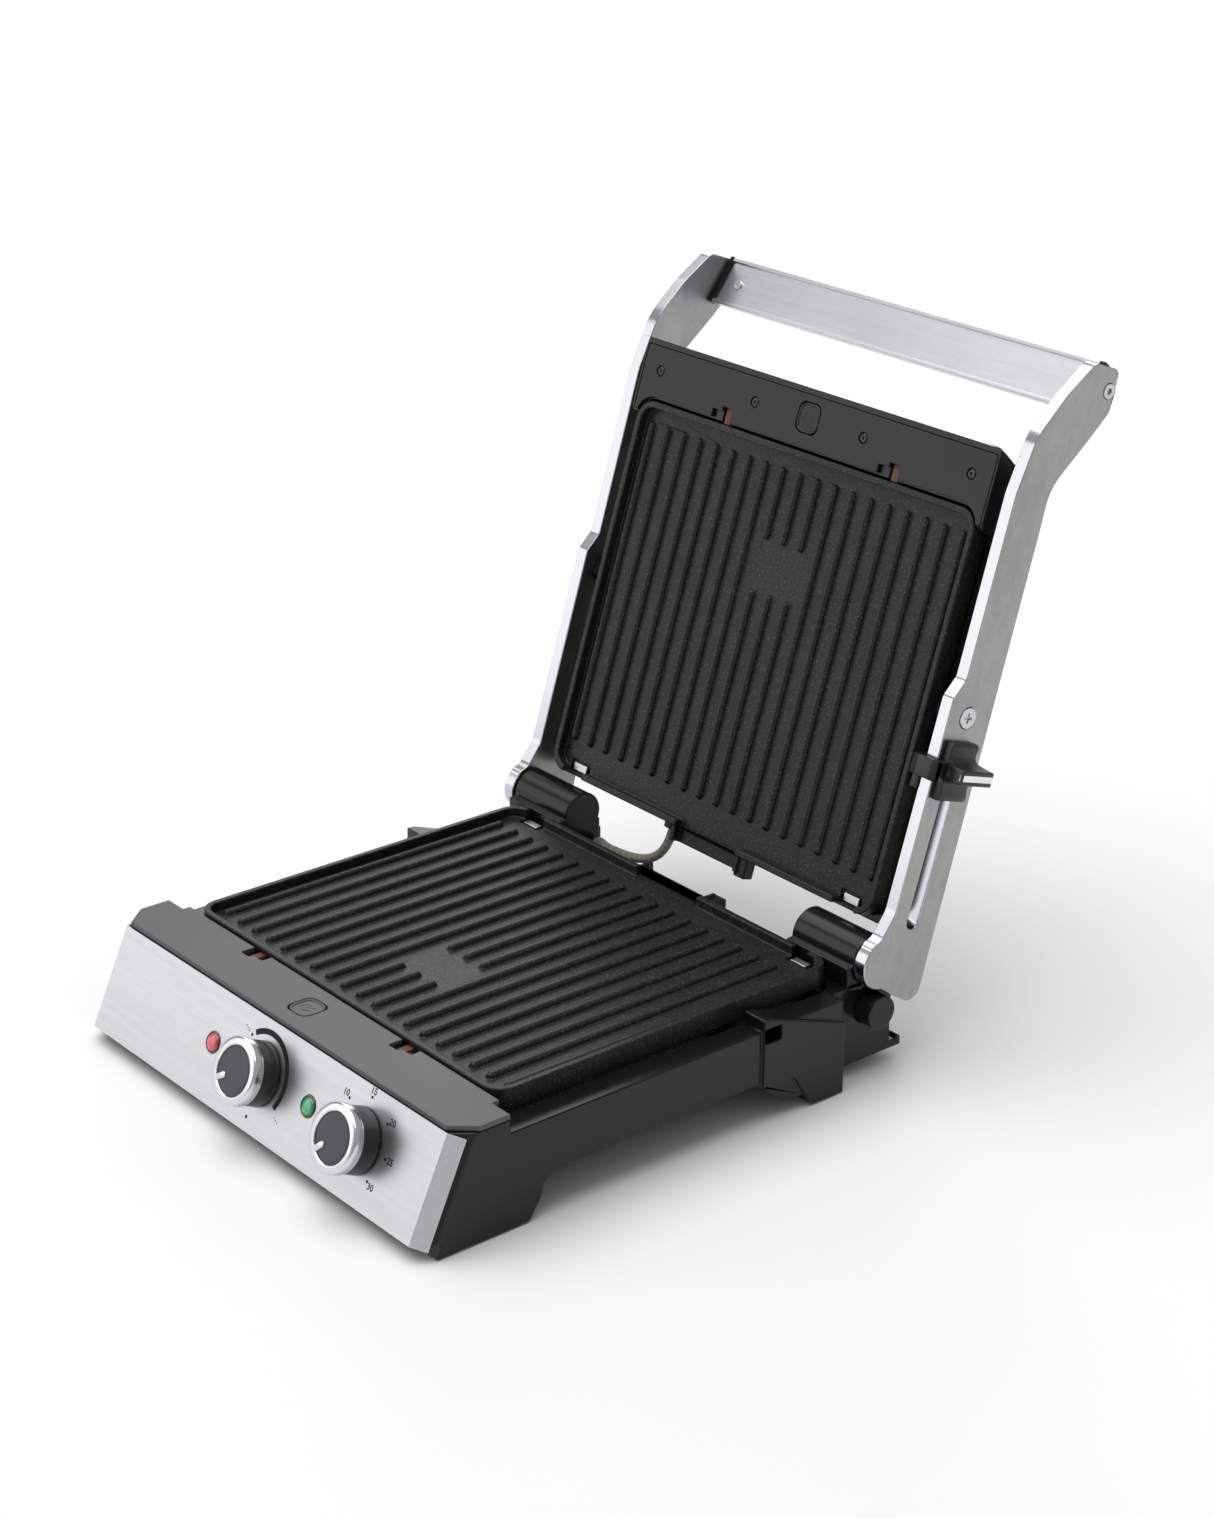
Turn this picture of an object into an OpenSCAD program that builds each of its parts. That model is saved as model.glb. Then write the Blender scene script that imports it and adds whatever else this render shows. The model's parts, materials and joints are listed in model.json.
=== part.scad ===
// Panini press with hinged contact lid, floating upper housing and removable ribbed plates.
// Built about its own centre plane: X to the right, Y to the back, Z up, worktop at Z = 0.
// The front ends of the lower ribs lie at Y = 0. Everything on the lid is drawn with the lid
// closed and then swung open about the hinge axis.

/* [Cooking plates] */
// Number of ribs on each plate
rib_count = 19; // [15:2:21]
// Distance from one rib to the next
rib_pitch = 15; // [13:0.5:17]
// Length of the full ribs
rib_len = 207; // [180:1:245]
// Width of a rib
rib_width = 5; // [4:0.1:6]
// Height of a rib above the plate floor
rib_height = 3; // [2.2:0.1:3.6]
// Height of the rim above the rib tops
rim_rise = 3.2; // [2:0.1:4]
// Gap between the two rims with the lid closed
closed_gap = 0.4; // [0.3:0.1:2]
// Wall of the cast plate
plate_wall = 4; // [3:0.5:5]
// Depth of the plate from rim to skirt edge
plate_depth = 13; // [12:0.5:16]

/* [Base] */
// Height of the lower rib tops above the worktop
rib_top_z = 67.8; // [64:0.1:74]
// Width of the band between the plate and the outside of the base
side_band = 19.7; // [18:0.1:24]
// Lean of the control panel from upright
panel_lean = 24.4; // [20:0.1:28]
// Height of the control panel along its slope
panel_height = 63.2; // [58:0.1:66]
// Thickness of the steel sheet of the panel
sheet = 1; // [0.8:0.1:1.5]
// Wall of the base housing
shell_wall = 3; // [2.5:0.5:4]
// Height of the raised middle of the underside
arch_z = 26; // [20:0.5:29]

/* [Controls] */
// Radius of the chrome knob ring
knob_r = 19.2; // [15:0.1:22]
// Height of a knob above the panel
knob_height = 18.9; // [14:0.1:22]
// Place of the timer knob to the right of the centre plane
timer_x = 94; // [80:1:105]
// Radius of the indicator lenses
lens_r = 6.2; // [4:0.1:8]
// Side of the square plate-release buttons
button_w = 18; // [15:0.5:20]

/* [Lid] */
// Angle between the closed lid and the open lid as it stands on its stop
open_angle = 107.9; // [104:0.1:112]
// Thickness of the two side arms
arm_t = 8.5; // [7:0.5:10]
// Height of the upper housing above the closing plane
lid_height = 35.4; // [33:0.1:40]
// Distance of the float pivot from the hinge axis
pivot_reach = 147.3; // [125:0.1:165]
// Travel of the lock slider along its slot
slider_travel = 78; // [40:1:78]

/* [Hinge] */
// Radius of the hinge pins
pin_r = 6; // [4:0.1:7]
// Radius of the hinge barrel covers
barrel_r = 14; // [13:0.1:15]
// Radius of the open-stop button
stop_r = 10.1; // [8:0.1:11]

/* [Fits] */
// Radial clearance of running fits
running_fit = 0.05; // [0.02:0.01:0.09]
// Gap between pieces that only pass each other
gap = 0.4; // [0.3:0.05:0.6]

/* [Hidden] */
$fn = 48;

// Plate plan
rib_margin = 10.5;
plate_half = (rib_count - 1) / 2 * rib_pitch + rib_margin;
plate_front = -13;
plate_back = rib_len + 20.6;
plate_r = 13;
floor_z = rib_top_z - rib_height;
rim_z = rib_top_z + rim_rise;
skirt_z = rim_z - plate_depth;
land_front = 44;
land_back = 75;
spout_x = [-24, 31];
spout_len = 9.8;
clip_x = 124;
clip_w = 18;
clip_depth = 9;

// Hinge line, which lies in the closing plane
hinge_z = rim_z + closed_gap / 2;
hinge_y = plate_back + 19.5;

// Base plan and profile
base_half = plate_half + side_band;
tower_half = base_half - 8.8;
tower_in = tower_half - 51.6;
foot_half = base_half + 2.1;
ledge_z = skirt_z + 0.5;
cover_z = rim_z - 1.4;
cover_t = 3;
foot_back = plate_back - 9.9;
body_back = hinge_y + 17;
front_foot_y = plate_front + 6;
tail_z = 8.2;
pad_r = 7;
pad_z = 0.6;
tray_half = plate_half + 4.5;
tray_floor_z = skirt_z - 8.5;
tray_back = plate_back + gap;
front_wall_y = plate_front - 1.3;

// Control panel: foot of its slope, and the cover above it
panel_y = -79.4;
panel_z = 9.2;
panel_half = base_half - 8.8;
facet = 10.5;
facet_angle = 47;
cover_y = panel_y + panel_height * sin(panel_lean) + sheet / cos(panel_lean) + 0.1;
cover_half = base_half - 11.6;
cover_chamfer = 13.5;
knob_v = panel_height / 2 + 1.4;
lens_dx = 47;
power_lens_x = -lens_dx;
ready_lens_x = lens_dx;
button_y = plate_front - 19.8;
button_r = 5;
button_press = 2.5;
latch_x = 72;
latch_w = 5.6;
latch_dx = 3.6;
notch_w = 8.4;
notch_y = plate_front - 10.6;
side_notch_y = plate_front - 7.8;

// Sprung parts under each release button, measured from the shelf they stand on
button_t = 6;
button_cap = 2.2;
button_stem = 7;
button_spring_r = 2.8;
spring_post_x = 40;
latch_bar_y = plate_front - 12.5;
latch_bar_t = 4;
latch_spring_l = 9;

// Cord inlet and underside hatch
gland_x = 60;
gland_z = 27;
gland_r = 7;
cord_r = 3.6;
hatch_half = plate_half - 25.5;
hatch_y0 = 30;
hatch_y1 = plate_back - 90;

// Stop button: centre in the side view and its outer end
stop_y = hinge_y - 2;
stop_z = hinge_z - 29;
stop_out = base_half + 3.3;

// Lid, drawn closed. Distances forward of the hinge are called reach.
arm_in = tower_half + 1;
arm_out = arm_in + arm_t;
lid_half = tower_half - 5.4;
lid_front = plate_front - 37.4;
lid_back = plate_back + 2.8;
lid_reach = hinge_y - lid_front;
lid_wall = 3;
lid_pocket = plate_half + 1.3;
lid_top = hinge_z + lid_height;
cover_skirt = 10;
trim_z = hinge_z - 0.3;
trim_t = 2.5;
trim_side = 1.8;
trim_end = 4;
trim_back = plate_front - 2.6;
trim_rib = 1.5;
trim_screw_y = plate_front - 19;
screw_hole_r = 1.65;
lid_lean = 28;
nose_back = plate_front + 9;
rim_h = 2 * hinge_z - ledge_z;
ceiling_z = 2 * hinge_z - tray_floor_z;
pivot_h = 14.2;
pivot_r = 4;
slot_w = 9;
slot_h = 14.9;
pin_head = 1.6;
slider_pin_reach = 104;
slot_reach = [slider_pin_reach - slider_travel, slider_pin_reach + 6];
grip_reach = 116.5;
slider_out = arm_out + 20;
handle_reach = lid_reach + 29.4;
handle_h = 48.4;
handle_tilt = 19.7;
handle_w = 29.4;
handle_t = 8.6;
handle_half = arm_in - 3.4;

handle_bolt_y = hinge_y - lid_reach - 43.4;
handle_bolt_z = hinge_z + 57;
thermostat_pointer = 215;
timer_pointer = 225;
conduit_r = 4.8;
conduit_x = -42;
conduit_top_z = hinge_z + 18.2;
conduit_end_y = lid_back + 4;

// The origin is under the middle of the open press
tip_y = hinge_y - (lid_reach + 57) * cos(open_angle) + 60 * sin(open_angle);
knob_front_y = panel_y + (knob_v - knob_r) * sin(panel_lean) - knob_height * cos(panel_lean);
origin_x = (slider_out - foot_half) / 2;
origin_y = (tip_y + knob_front_y) / 2;

// ---- Helpers -------------------------------------------------------------------------------

function unit(v) = v / norm(v);

// Arc that rounds the corner b between a and c
function fillet(a, b, c, r, n) =
  let (u = unit(a - b),
       w = unit(c - b),
       half = acos(max(-1, min(1, u * w))) / 2,
       centre = b + unit(u + w) * (r / sin(half)),
       p = b + u * (r / tan(half)) - centre,
       q = b + w * (r / tan(half)) - centre,
       start = atan2(p.y, p.x),
       turn = atan2(q.y, q.x) - start,
       sweep = turn > 180 ? turn - 360 : turn < -180 ? turn + 360 : turn)
  [for (i = [0 : n]) centre + r * [cos(start + sweep * i / n), sin(start + sweep * i / n)]];

// Outline through points [x, y, corner radius]
function rounded(pts, n = 6) =
  [for (i = [0 : len(pts) - 1])
    let (a = pts[(i + len(pts) - 1) % len(pts)], b = pts[i], c = pts[(i + 1) % len(pts)])
    each b[2] > 0 ? fillet([a.x, a.y], [b.x, b.y], [c.x, c.y], b[2], n) : [[b.x, b.y]]];

// Rectangle with true round corners
module round_rect(x0, x1, y0, y1, r) {
  translate([x0 + r, y0]) square([x1 - x0 - 2 * r, y1 - y0]);
  translate([x0, y0 + r]) square([x1 - x0, y1 - y0 - 2 * r]);
  for (x = [x0 + r, x1 - r], y = [y0 + r, y1 - r])
    translate([x, y]) circle(r);
}

module box(x0, x1, y0, y1, z0, z1) {
  translate([x0, y0, z0]) cube([x1 - x0, y1 - y0, z1 - z0]);
}

// Side-view shape, drawn in Y and Z, given a width from x0 to x1
module along_x(x0, x1) {
  translate([x0, 0, 0]) rotate([90, 0, 90]) linear_extrude(x1 - x0) children();
}

module rod_x(x0, x1, y, z, r) {
  translate([x0, y, z]) rotate([0, 90, 0]) cylinder(r = r, h = x1 - x0);
}

module both_sides() {
  children();
  mirror([1, 0, 0]) children();
}

// Frame of the control panel: X across, Y up the slope, Z out of the panel
module on_panel() {
  translate([0, panel_y, panel_z]) rotate([90 - panel_lean, 0, 0]) children();
}

// Mirror image of a lower part, as it sits in the closed lid
module flipped() {
  translate([0, 0, 2 * hinge_z]) mirror([0, 0, 1]) children();
}

// Swings a part of the closed lid to the open position
module opened() {
  translate([0, hinge_y, hinge_z]) rotate([-open_angle, 0, 0]) translate([0, -hinge_y, -hinge_z])
    children();
}

module placed() {
  translate([-origin_x, -origin_y, 0]) children();
}

// Compression spring along Z
module coil_spring(r, wire_r, length, turns) {
  sides = 6;
  rings = turns * 10;
  pitch = (length - 2 * wire_r) / rings;
  points = [for (i = [0 : rings], k = [0 : sides - 1])
    let (a = i * 36, d = wire_r * cos(k * 60), e = wire_r * sin(k * 60))
    [(r + d) * cos(a), (r + d) * sin(a), wire_r + i * pitch + e]];
  walls = [for (i = [0 : rings - 1], k = [0 : sides - 1])
    let (m = (k + 1) % sides)
    each [[i * sides + k, (i + 1) * sides + k, (i + 1) * sides + m],
      [i * sides + k, (i + 1) * sides + m, i * sides + m]]];
  caps = [[for (k = [0 : sides - 1]) k], [for (k = [sides - 1 : -1 : 0]) rings * sides + k]];
  polyhedron(points, concat(walls, caps), convexity = 8);
}

// Pan-head screw pointing down, underside of the head at Z = 0
module screw(head_r, shank_r, length) {
  translate([0, 0, -length]) cylinder(r = shank_r, h = length + 0.2);
  difference() {
    cylinder(r = head_r, h = head_r * 0.5);
    for (a = [0, 90])
      rotate(a) translate([-head_r * 0.6, -0.5, head_r * 0.25]) cube([head_r * 1.2, 1, head_r]);
  }
}

// ---- Base ----------------------------------------------------------------------------------

// Block that leans with the panel and carries its corner chamfers
module leaning_block(front, side) {
  half = base_half - side;
  flat = panel_half - front * tan(facet_angle / 2);
  corner = front / cos(facet_angle) + (half - panel_half) * tan(facet_angle);
  on_panel() translate([0, -60, 0]) rotate([-90, 0, 0]) linear_extrude(600)
    polygon([[-flat, front], [flat, front], [half, corner], [half, 700], [-half, 700], [-half, corner]]);
}

// Side view of the tub, without its feet
module tub_profile(wall, top) {
  bottom = tail_z + wall;
  polygon(rounded([[-110, bottom + 1, 0], [front_foot_y - 6, bottom + 1, 6],
    [front_foot_y + 17, arch_z + wall, 9], [plate_back - 74, arch_z + wall, 9],
    [plate_back - 52, bottom, 9], [foot_back - wall, bottom, 0], [foot_back - wall, top, 0],
    [-110, top, 0]]));
}

module tub(front, wall, top) {
  intersection() {
    leaning_block(front, wall);
    along_x(-base_half, base_half) tub_profile(wall, top);
  }
}

module front_foot() {
  along_x(base_half - 22, base_half)
    polygon(rounded([[panel_y + 11.5, pad_z, 0], [front_foot_y, pad_z, 4],
      [front_foot_y + 17, arch_z + 1, 9], [panel_y + 23, arch_z + 1, 0]]));
}

module rear_foot() {
  difference() {
    along_x(base_half - 34, foot_half)
      polygon(rounded([[plate_back - 71.5, arch_z - 2, 0], [plate_back - 49, arch_z - 1.5, 8],
        [plate_back - 34, pad_z, 3], [foot_back, pad_z, 0], [foot_back, hinge_z - 26, 0],
        [plate_back - 67, rim_z - 5.2, 0], [plate_back - 71.5, rim_z - 5.2, 0]]));
    box(0, tray_half, plate_back - 80, foot_back + 1, tray_floor_z, rim_z);
  }
}

module hinge_tower() {
  box(tower_in + 2.4, tower_half, tray_back, body_back, tail_z, ledge_z - 1);
  rod_x(tower_in + 14, tower_half, hinge_y, hinge_z, pin_r + 4);
  box(tower_in + 14, tower_half, hinge_y - 6, hinge_y + 6, ledge_z - 2, hinge_z);
}

// Places of the screws that hold the bottom cover
module hatch_screws() {
  for (x = [-hatch_half - 4, hatch_half + 4], y = [hatch_y0 - 4, (hatch_y0 + hatch_y1) / 2, hatch_y1 + 4])
    translate([x, y, arch_z]) children();
}

module foot_pads() {
  for (x = [-base_half + 12, base_half - 12], y = [front_foot_y - 24, plate_back - 21.5])
    translate([x, y, 0]) children();
}

// Holes in the front wall and the panel for shafts and lenses
module control_holes(extra) {
  on_panel() {
    for (x = [0, timer_x]) translate([x, knob_v, -20]) cylinder(r = 4.2 + extra, h = 30);
    for (x = [power_lens_x, ready_lens_x]) translate([x, knob_v, -20]) cylinder(r = lens_r + 0.1, h = 30);
  }
}

module base_housing() {
  rear_top = hinge_z - 29;
  color([0.05, 0.05, 0.055]) difference() {
    union() {
      difference() {
        union() {
          tub(sheet, 0, ledge_z);
          intersection() {
            tub(sheet, 0, cover_z - cover_t - 0.2);
            box(-base_half, base_half, panel_y - 30, plate_front - 6.1, 0, 100);
          }
          box(-plate_half, plate_half, plate_front - 8, front_wall_y, tray_floor_z, cover_z - cover_t - 0.2);
          box(-tower_half, tower_half, foot_back - shell_wall, body_back, tail_z, rear_top);
          box(-tower_half, tower_half, foot_back - shell_wall, tray_back + 2.6, tail_z, ledge_z);
        }
        // hollow tub below the tray floor
        tub(sheet + shell_wall, shell_wall, tray_floor_z - shell_wall);
        // control compartment, open at the top
        intersection() {
          leaning_block(sheet + shell_wall, shell_wall);
          box(-base_half, base_half, panel_y - 30, plate_front - 8, tray_floor_z, cover_z + 1);
        }
        // tray that takes the plate
        translate([0, 0, tray_floor_z]) linear_extrude(60)
          round_rect(-tray_half, tray_half, front_wall_y, tray_back, plate_r + 4);
        // rear space between the towers
        box(-tower_in, tower_in, foot_back - 20, body_back - shell_wall, tail_z + shell_wall,
          rear_top - shell_wall);
      }
      both_sides() {
        front_foot();
        rear_foot();
        hinge_tower();
      }
      latch_posts(tray_floor_z - 1, tray_floor_z + 9);
      // tail with its lip
      along_x(-tower_half, tower_half)
        polygon([[body_back - 1, tail_z], [body_back + 9, tail_z], [body_back + 9, tail_z + 5.5],
          [body_back + 6, tail_z + 7.5], [body_back + 4.5, tail_z + 5], [body_back - 1, tail_z + 5]]);
    }
    control_holes(0.8);
    // slots for the latch noses
    for (x = latch_places(-1))
      box(x - latch_w / 2 - 1, x + latch_w / 2 + 1, plate_front - 9, front_wall_y + 1,
        tray_floor_z + 10, rim_z);
    // hinge pin seats, catch windows and pad seats
    both_sides() {
      rod_x(tower_in + 20, tower_half + 1, hinge_y, hinge_z, pin_r);
      box(base_half - 10, foot_half + 1, plate_back - 70.6, plate_back - 58.5, rim_z - 20, rim_z - 11);
    }
    foot_pads() cylinder(r = pad_r, h = 3);
    rod_x(tower_half - 36, tower_half + 1, stop_y, stop_z, stop_r + running_fit);
    translate([gland_x, body_back + 1, gland_z]) rotate([90, 0, 0]) cylinder(r = gland_r, h = 10);
    box(-hatch_half, hatch_half, hatch_y0, hatch_y1, arch_z - 1, arch_z + shell_wall + 1);
    hatch_screws() cylinder(r = 1.65, h = 12, center = true);
  }
}

module bottom_cover() {
  color([0.12, 0.12, 0.13]) difference() {
    box(-hatch_half - 8, hatch_half + 8, hatch_y0 - 8, hatch_y1 + 8, arch_z - 2, arch_z);
    for (x = [-80 : 16 : 80]) box(x - 3, x + 3, hatch_y0 + 20, hatch_y1 - 20, arch_z - 3, arch_z + 1);
    hatch_screws() cylinder(r = 1.65, h = 12, center = true);
  }
}

module bottom_screws() {
  color([0.6, 0.6, 0.62]) hatch_screws() translate([0, 0, -2]) mirror([0, 0, 1]) screw(3.2, 1.6, 7.8);
}

module rubber_feet() {
  color([0.09, 0.09, 0.09]) foot_pads() difference() {
    cylinder(r = pad_r, h = 3);
    translate([0, 0, -1]) cylinder(r = 2.2, h = 2.2);
  }
}

module front_panel() {
  turn = facet * [cos(facet_angle), sin(facet_angle)];
  in_turn = sheet * [sin(facet_angle), cos(facet_angle)];
  flat = panel_half;
  color([0.72, 0.72, 0.74]) difference() {
    on_panel() rotate([-90, 0, 0]) linear_extrude(panel_height)
      polygon([[-flat - turn.x, turn.y], [-flat, 0], [flat, 0], [flat + turn.x, turn.y],
        [flat + turn.x - in_turn.x, turn.y + in_turn.y], [flat - sheet * 0.4, sheet],
        [-flat + sheet * 0.4, sheet], [-flat - turn.x + in_turn.x, turn.y + in_turn.y]]);
    control_holes(0);
  }
}

// Plan of the control cover, drawn in by an inset
module cover_plan(inset) {
  half = base_half - inset;
  flat = cover_half - inset * 0.6;
  polygon([[-flat, cover_y + inset], [flat, cover_y + inset], [half, cover_y + cover_chamfer + inset * 0.6],
    [half, plate_front - 6.1], [plate_half + 4, plate_front - 6.1], [plate_half + 4, front_wall_y - inset],
    [-plate_half - 4, front_wall_y - inset], [-plate_half - 4, plate_front - 6.1],
    [-half, plate_front - 6.1], [-half, cover_y + cover_chamfer + inset * 0.6]]);
}

// Rounded square about its centre
module offset_square(half, r) { round_rect(-half, half, -half, half, r); }

// Cuts for a release button and its two latch windows, open towards the plate
module release_cuts(side) {
  translate([0, button_y, 0]) linear_extrude(200)
    offset_square(button_w / 2 + gap, button_r + gap);
  for (x = [-latch_x, latch_x]) translate([x, 0, 0]) {
    box(min(0, side * notch_w), max(0, side * notch_w), notch_y, plate_front, 0, 200);
    box(-notch_w, notch_w, side_notch_y, plate_front, 0, 200);
  }
}

// Places of the two latch tabs, which sit to one side of their windows
function latch_places(side) = [for (x = [-latch_x, latch_x]) x + side * latch_dx];

// Posts that the latch springs push against
module latch_posts(z0, z1) {
  for (x = [-spring_post_x, spring_post_x])
    box(x - 5, x + 5, latch_bar_y - latch_spring_l - 2, latch_bar_y - latch_spring_l, z0, z1);
}

module control_cover() {
  color([0.22, 0.22, 0.23]) difference() {
    translate([0, 0, cover_z - cover_t]) linear_extrude(cover_t) cover_plan(0);
    release_cuts(-1);
  }
}

module lens(x) {
  on_panel() translate([x, knob_v, 0]) {
    translate([0, 0, -4.5]) cylinder(r = lens_r, h = 5.5);
    translate([0, 0, 1]) cylinder(r1 = lens_r, r2 = lens_r - 0.8, h = 0.6, $fn = 48);
  }
}

module power_lens() { color([0.8, 0.05, 0.05]) lens(power_lens_x); }

module ready_lens() { color([0.02, 0.5, 0.2]) lens(ready_lens_x); }

module indicator_lamps() {
  color([0.85, 0.6, 0.4]) for (x = [power_lens_x, ready_lens_x])
    on_panel() translate([x, knob_v, -20]) cylinder(r = 3, h = 15.3);
}

module switch_body(x, w, h, d) {
  on_panel() difference() {
    translate([x - w / 2, knob_v - h / 2, -sheet - shell_wall - d]) cube([w, h, d]);
    translate([x, knob_v, -sheet - shell_wall - 12]) cylinder(r = 3 + running_fit, h = 20);
  }
}

module thermostat() { color([0.9, 0.88, 0.82]) switch_body(0, 34, 17, 18); }

module timer() { color([0.75, 0.72, 0.6]) switch_body(timer_x, 40, 17, 20); }

module terminal_block() {
  color([0.9, 0.9, 0.86]) difference() {
    box(-40, -6, foot_back + 10, foot_back + 24, tail_z + shell_wall, tail_z + shell_wall + 12);
    for (x = [-34 : 11 : -12])
      translate([x, foot_back + 17, tail_z + shell_wall + 4]) cylinder(r = 2, h = 20);
  }
}

module cord_gland() {
  color([0.08, 0.08, 0.08]) difference() {
    union() {
      translate([gland_x, body_back + 2, gland_z]) rotate([90, 0, 0])
        cylinder(r = gland_r, h = 2 + shell_wall + 4);
      translate([gland_x, body_back + 10, gland_z]) rotate([90, 0, 0]) cylinder(r = gland_r + 2.5, h = 10);
    }
    translate([gland_x, body_back + 11, gland_z]) rotate([90, 0, 0]) cylinder(r = cord_r, h = 30);
  }
}

// ---- Plates and what lies under them, drawn for the base ------------------------------------

module rib(x, y0, y1) {
  r = rib_width / 2;
  z = rib_top_z - r;
  translate([x, y0 + r, z]) rotate([-90, 0, 0]) cylinder(r = r, h = y1 - y0 - 2 * r, $fn = 24);
  for (y = [y0 + r, y1 - r]) translate([x, y, z]) sphere(r = r, $fn = 24);
}

module plate(side) {
  middle = (rib_count - 1) / 2;
  color([0.13, 0.13, 0.135]) difference() {
    union() {
      difference() {
        translate([0, 0, skirt_z]) linear_extrude(plate_depth)
          round_rect(-plate_half, plate_half, plate_front, plate_back, plate_r);
        for (z = [[floor_z, 40], [skirt_z - 1, floor_z - plate_wall - skirt_z + 1]])
          translate([0, 0, z[0]]) linear_extrude(z[1])
            round_rect(-plate_half + plate_wall, plate_half - plate_wall, plate_front + plate_wall,
              plate_back - plate_wall, plate_r - plate_wall);
      }
      for (i = [0 : rib_count - 1]) {
        x = (i - middle) * rib_pitch;
        if (abs(i - middle) > 1) rib(x, 0, rib_len);
        else {
          rib(x, 0, land_front);
          rib(x, land_back, rib_len);
        }
      }
      // drain spout and the tab beside it
      box(spout_x[0] - 3, spout_x[1] + 3, plate_back - 2, plate_back + spout_len, skirt_z + 2, rim_z - 1);
      box(spout_x[1], spout_x[1] + 9, plate_back - 2, plate_back + spout_len + 2.5, skirt_z + 2, rim_z - 3);
    }
    box(spout_x[0], spout_x[1], plate_back - plate_wall - 1, plate_back + spout_len + 1, floor_z, rim_z + 1);
    // pockets for the latch noses
    for (x = latch_places(side))
      box(x - latch_w / 2 - 1, x + latch_w / 2 + 1, plate_front - 1, plate_front + 2.4,
        skirt_z + 2, rim_z - 3);
    // notches for the rear clips
    for (x = [-clip_x, clip_x]) {
      box(x - clip_w / 2, x + clip_w / 2, plate_back - clip_depth, plate_back + 1, skirt_z + 5, rim_z + 1);
      box(x - clip_w / 2, x + clip_w / 2, plate_back - 5, plate_back + 1, skirt_z - 1, rim_z + 1);
    }
  }
}

module heater() {
  r = 3.3;
  z = floor_z - plate_wall - r - 0.2;
  legs = [-97.5, -32.5, 32.5, 97.5];
  bend = 32.5;
  y0 = 40;
  y1 = plate_back - 55;
  color([0.5, 0.47, 0.44]) {
    for (x = legs) translate([x, abs(x) > 50 ? 8 : y0, z]) rotate([-90, 0, 0])
      cylinder(r = r, h = y1 - (abs(x) > 50 ? 8 : y0), $fn = 24);
    for (x = [-65, 65]) translate([x, y1, z]) rotate_extrude(angle = 180, $fn = 48)
      translate([bend, 0]) circle(r = r, $fn = 24);
    translate([0, y0, z]) rotate([0, 0, 180]) rotate_extrude(angle = 180, $fn = 48)
      translate([bend, 0]) circle(r = r, $fn = 24);
    for (x = [-97.5, 97.5]) translate([x, 1, z]) rotate([-90, 0, 0]) cylinder(r = 1.3, h = 8, $fn = 24);
  }
}

module reflector() {
  half = plate_half - plate_wall - 4;
  y0 = plate_front + plate_wall + 4;
  y1 = plate_back - plate_wall - 8;
  color([0.75, 0.75, 0.77]) {
    difference() {
      box(-half, half, y0, y1, tray_floor_z, tray_floor_z + 6);
      box(-half + 1, half - 1, y0 + 1, y1 - 1, tray_floor_z + 1, tray_floor_z + 7);
    }
    for (x = [-97.5, 97.5], y = [30, y1 - 60])
      box(x - 5, x + 5, y, y + 6, tray_floor_z + 1, floor_z - plate_wall - 6.8);
  }
}

module plate_clips() {
  y = plate_back - 4.3;
  color([0.8, 0.8, 0.8]) for (x = [-clip_x, clip_x]) {
    box(x - 6, x + 6, y, y + 1.5, tray_floor_z, skirt_z + 6.8);
    box(x - 6, x + 6, y - 3.2, y + 1.5, skirt_z + 5.3, skirt_z + 6.8);
  }
}

module release_button(top) {
  half = button_w / 2;
  color([0.2, 0.2, 0.21]) difference() {
    union() {
      translate([0, button_y, top - button_cap]) linear_extrude(button_cap)
        round_rect(-half, half, -half, half, button_r);
      translate([0, button_y, top - button_t]) linear_extrude(button_t - button_cap)
        round_rect(-button_stem, button_stem, -button_stem, button_stem, 3);
    }
    translate([0, button_y, top - 0.6]) linear_extrude(2)
      round_rect(-half + 1.5, half - 1.5, -half + 1.5, half - 1.5, button_r - 1.5);
  }
}

module button_spring(top) {
  color([0.7, 0.7, 0.72]) translate([0, button_y, tray_floor_z])
    coil_spring(button_spring_r, 0.5, top - button_t - tray_floor_z, 5);
}

module latch_bar(top, side) {
  z = tray_floor_z + 4;
  y1 = latch_bar_y + latch_bar_t;
  color([0.3, 0.17, 0.12]) {
    box(-latch_x - 8, latch_x + 8, latch_bar_y, y1, z, z + 4);
    for (x = latch_places(side)) {
      box(x - latch_w / 2, x + latch_w / 2, latch_bar_y, y1, z, top - 3.2);
      box(x - latch_w / 2, x + latch_w / 2, latch_bar_y, plate_front - gap, skirt_z + 3.5, top - 3.2);
      box(x - latch_w / 2, x + latch_w / 2, latch_bar_y, plate_front + 1.8, skirt_z + 3.5, rim_z - 4.5);
    }
  }
}

module latch_springs() {
  color([0.7, 0.7, 0.72]) for (x = [-spring_post_x, spring_post_x])
    translate([x, latch_bar_y - latch_spring_l, tray_floor_z + 6]) rotate([-90, 0, 0])
      coil_spring(2.2, 0.4, latch_spring_l, 5);
}

module lower_plate() { plate(-1); }

module lower_heater() { heater(); }

module lower_reflector() { reflector(); }

module lower_plate_clips() { plate_clips(); }

module lower_release_button() { release_button(cover_z); }

module lower_button_spring() { button_spring(cover_z); }

module lower_latch_bar() { latch_bar(cover_z, -1); }

module lower_latch_spring() { latch_springs(); }

// ---- Hinge ---------------------------------------------------------------------------------

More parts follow.
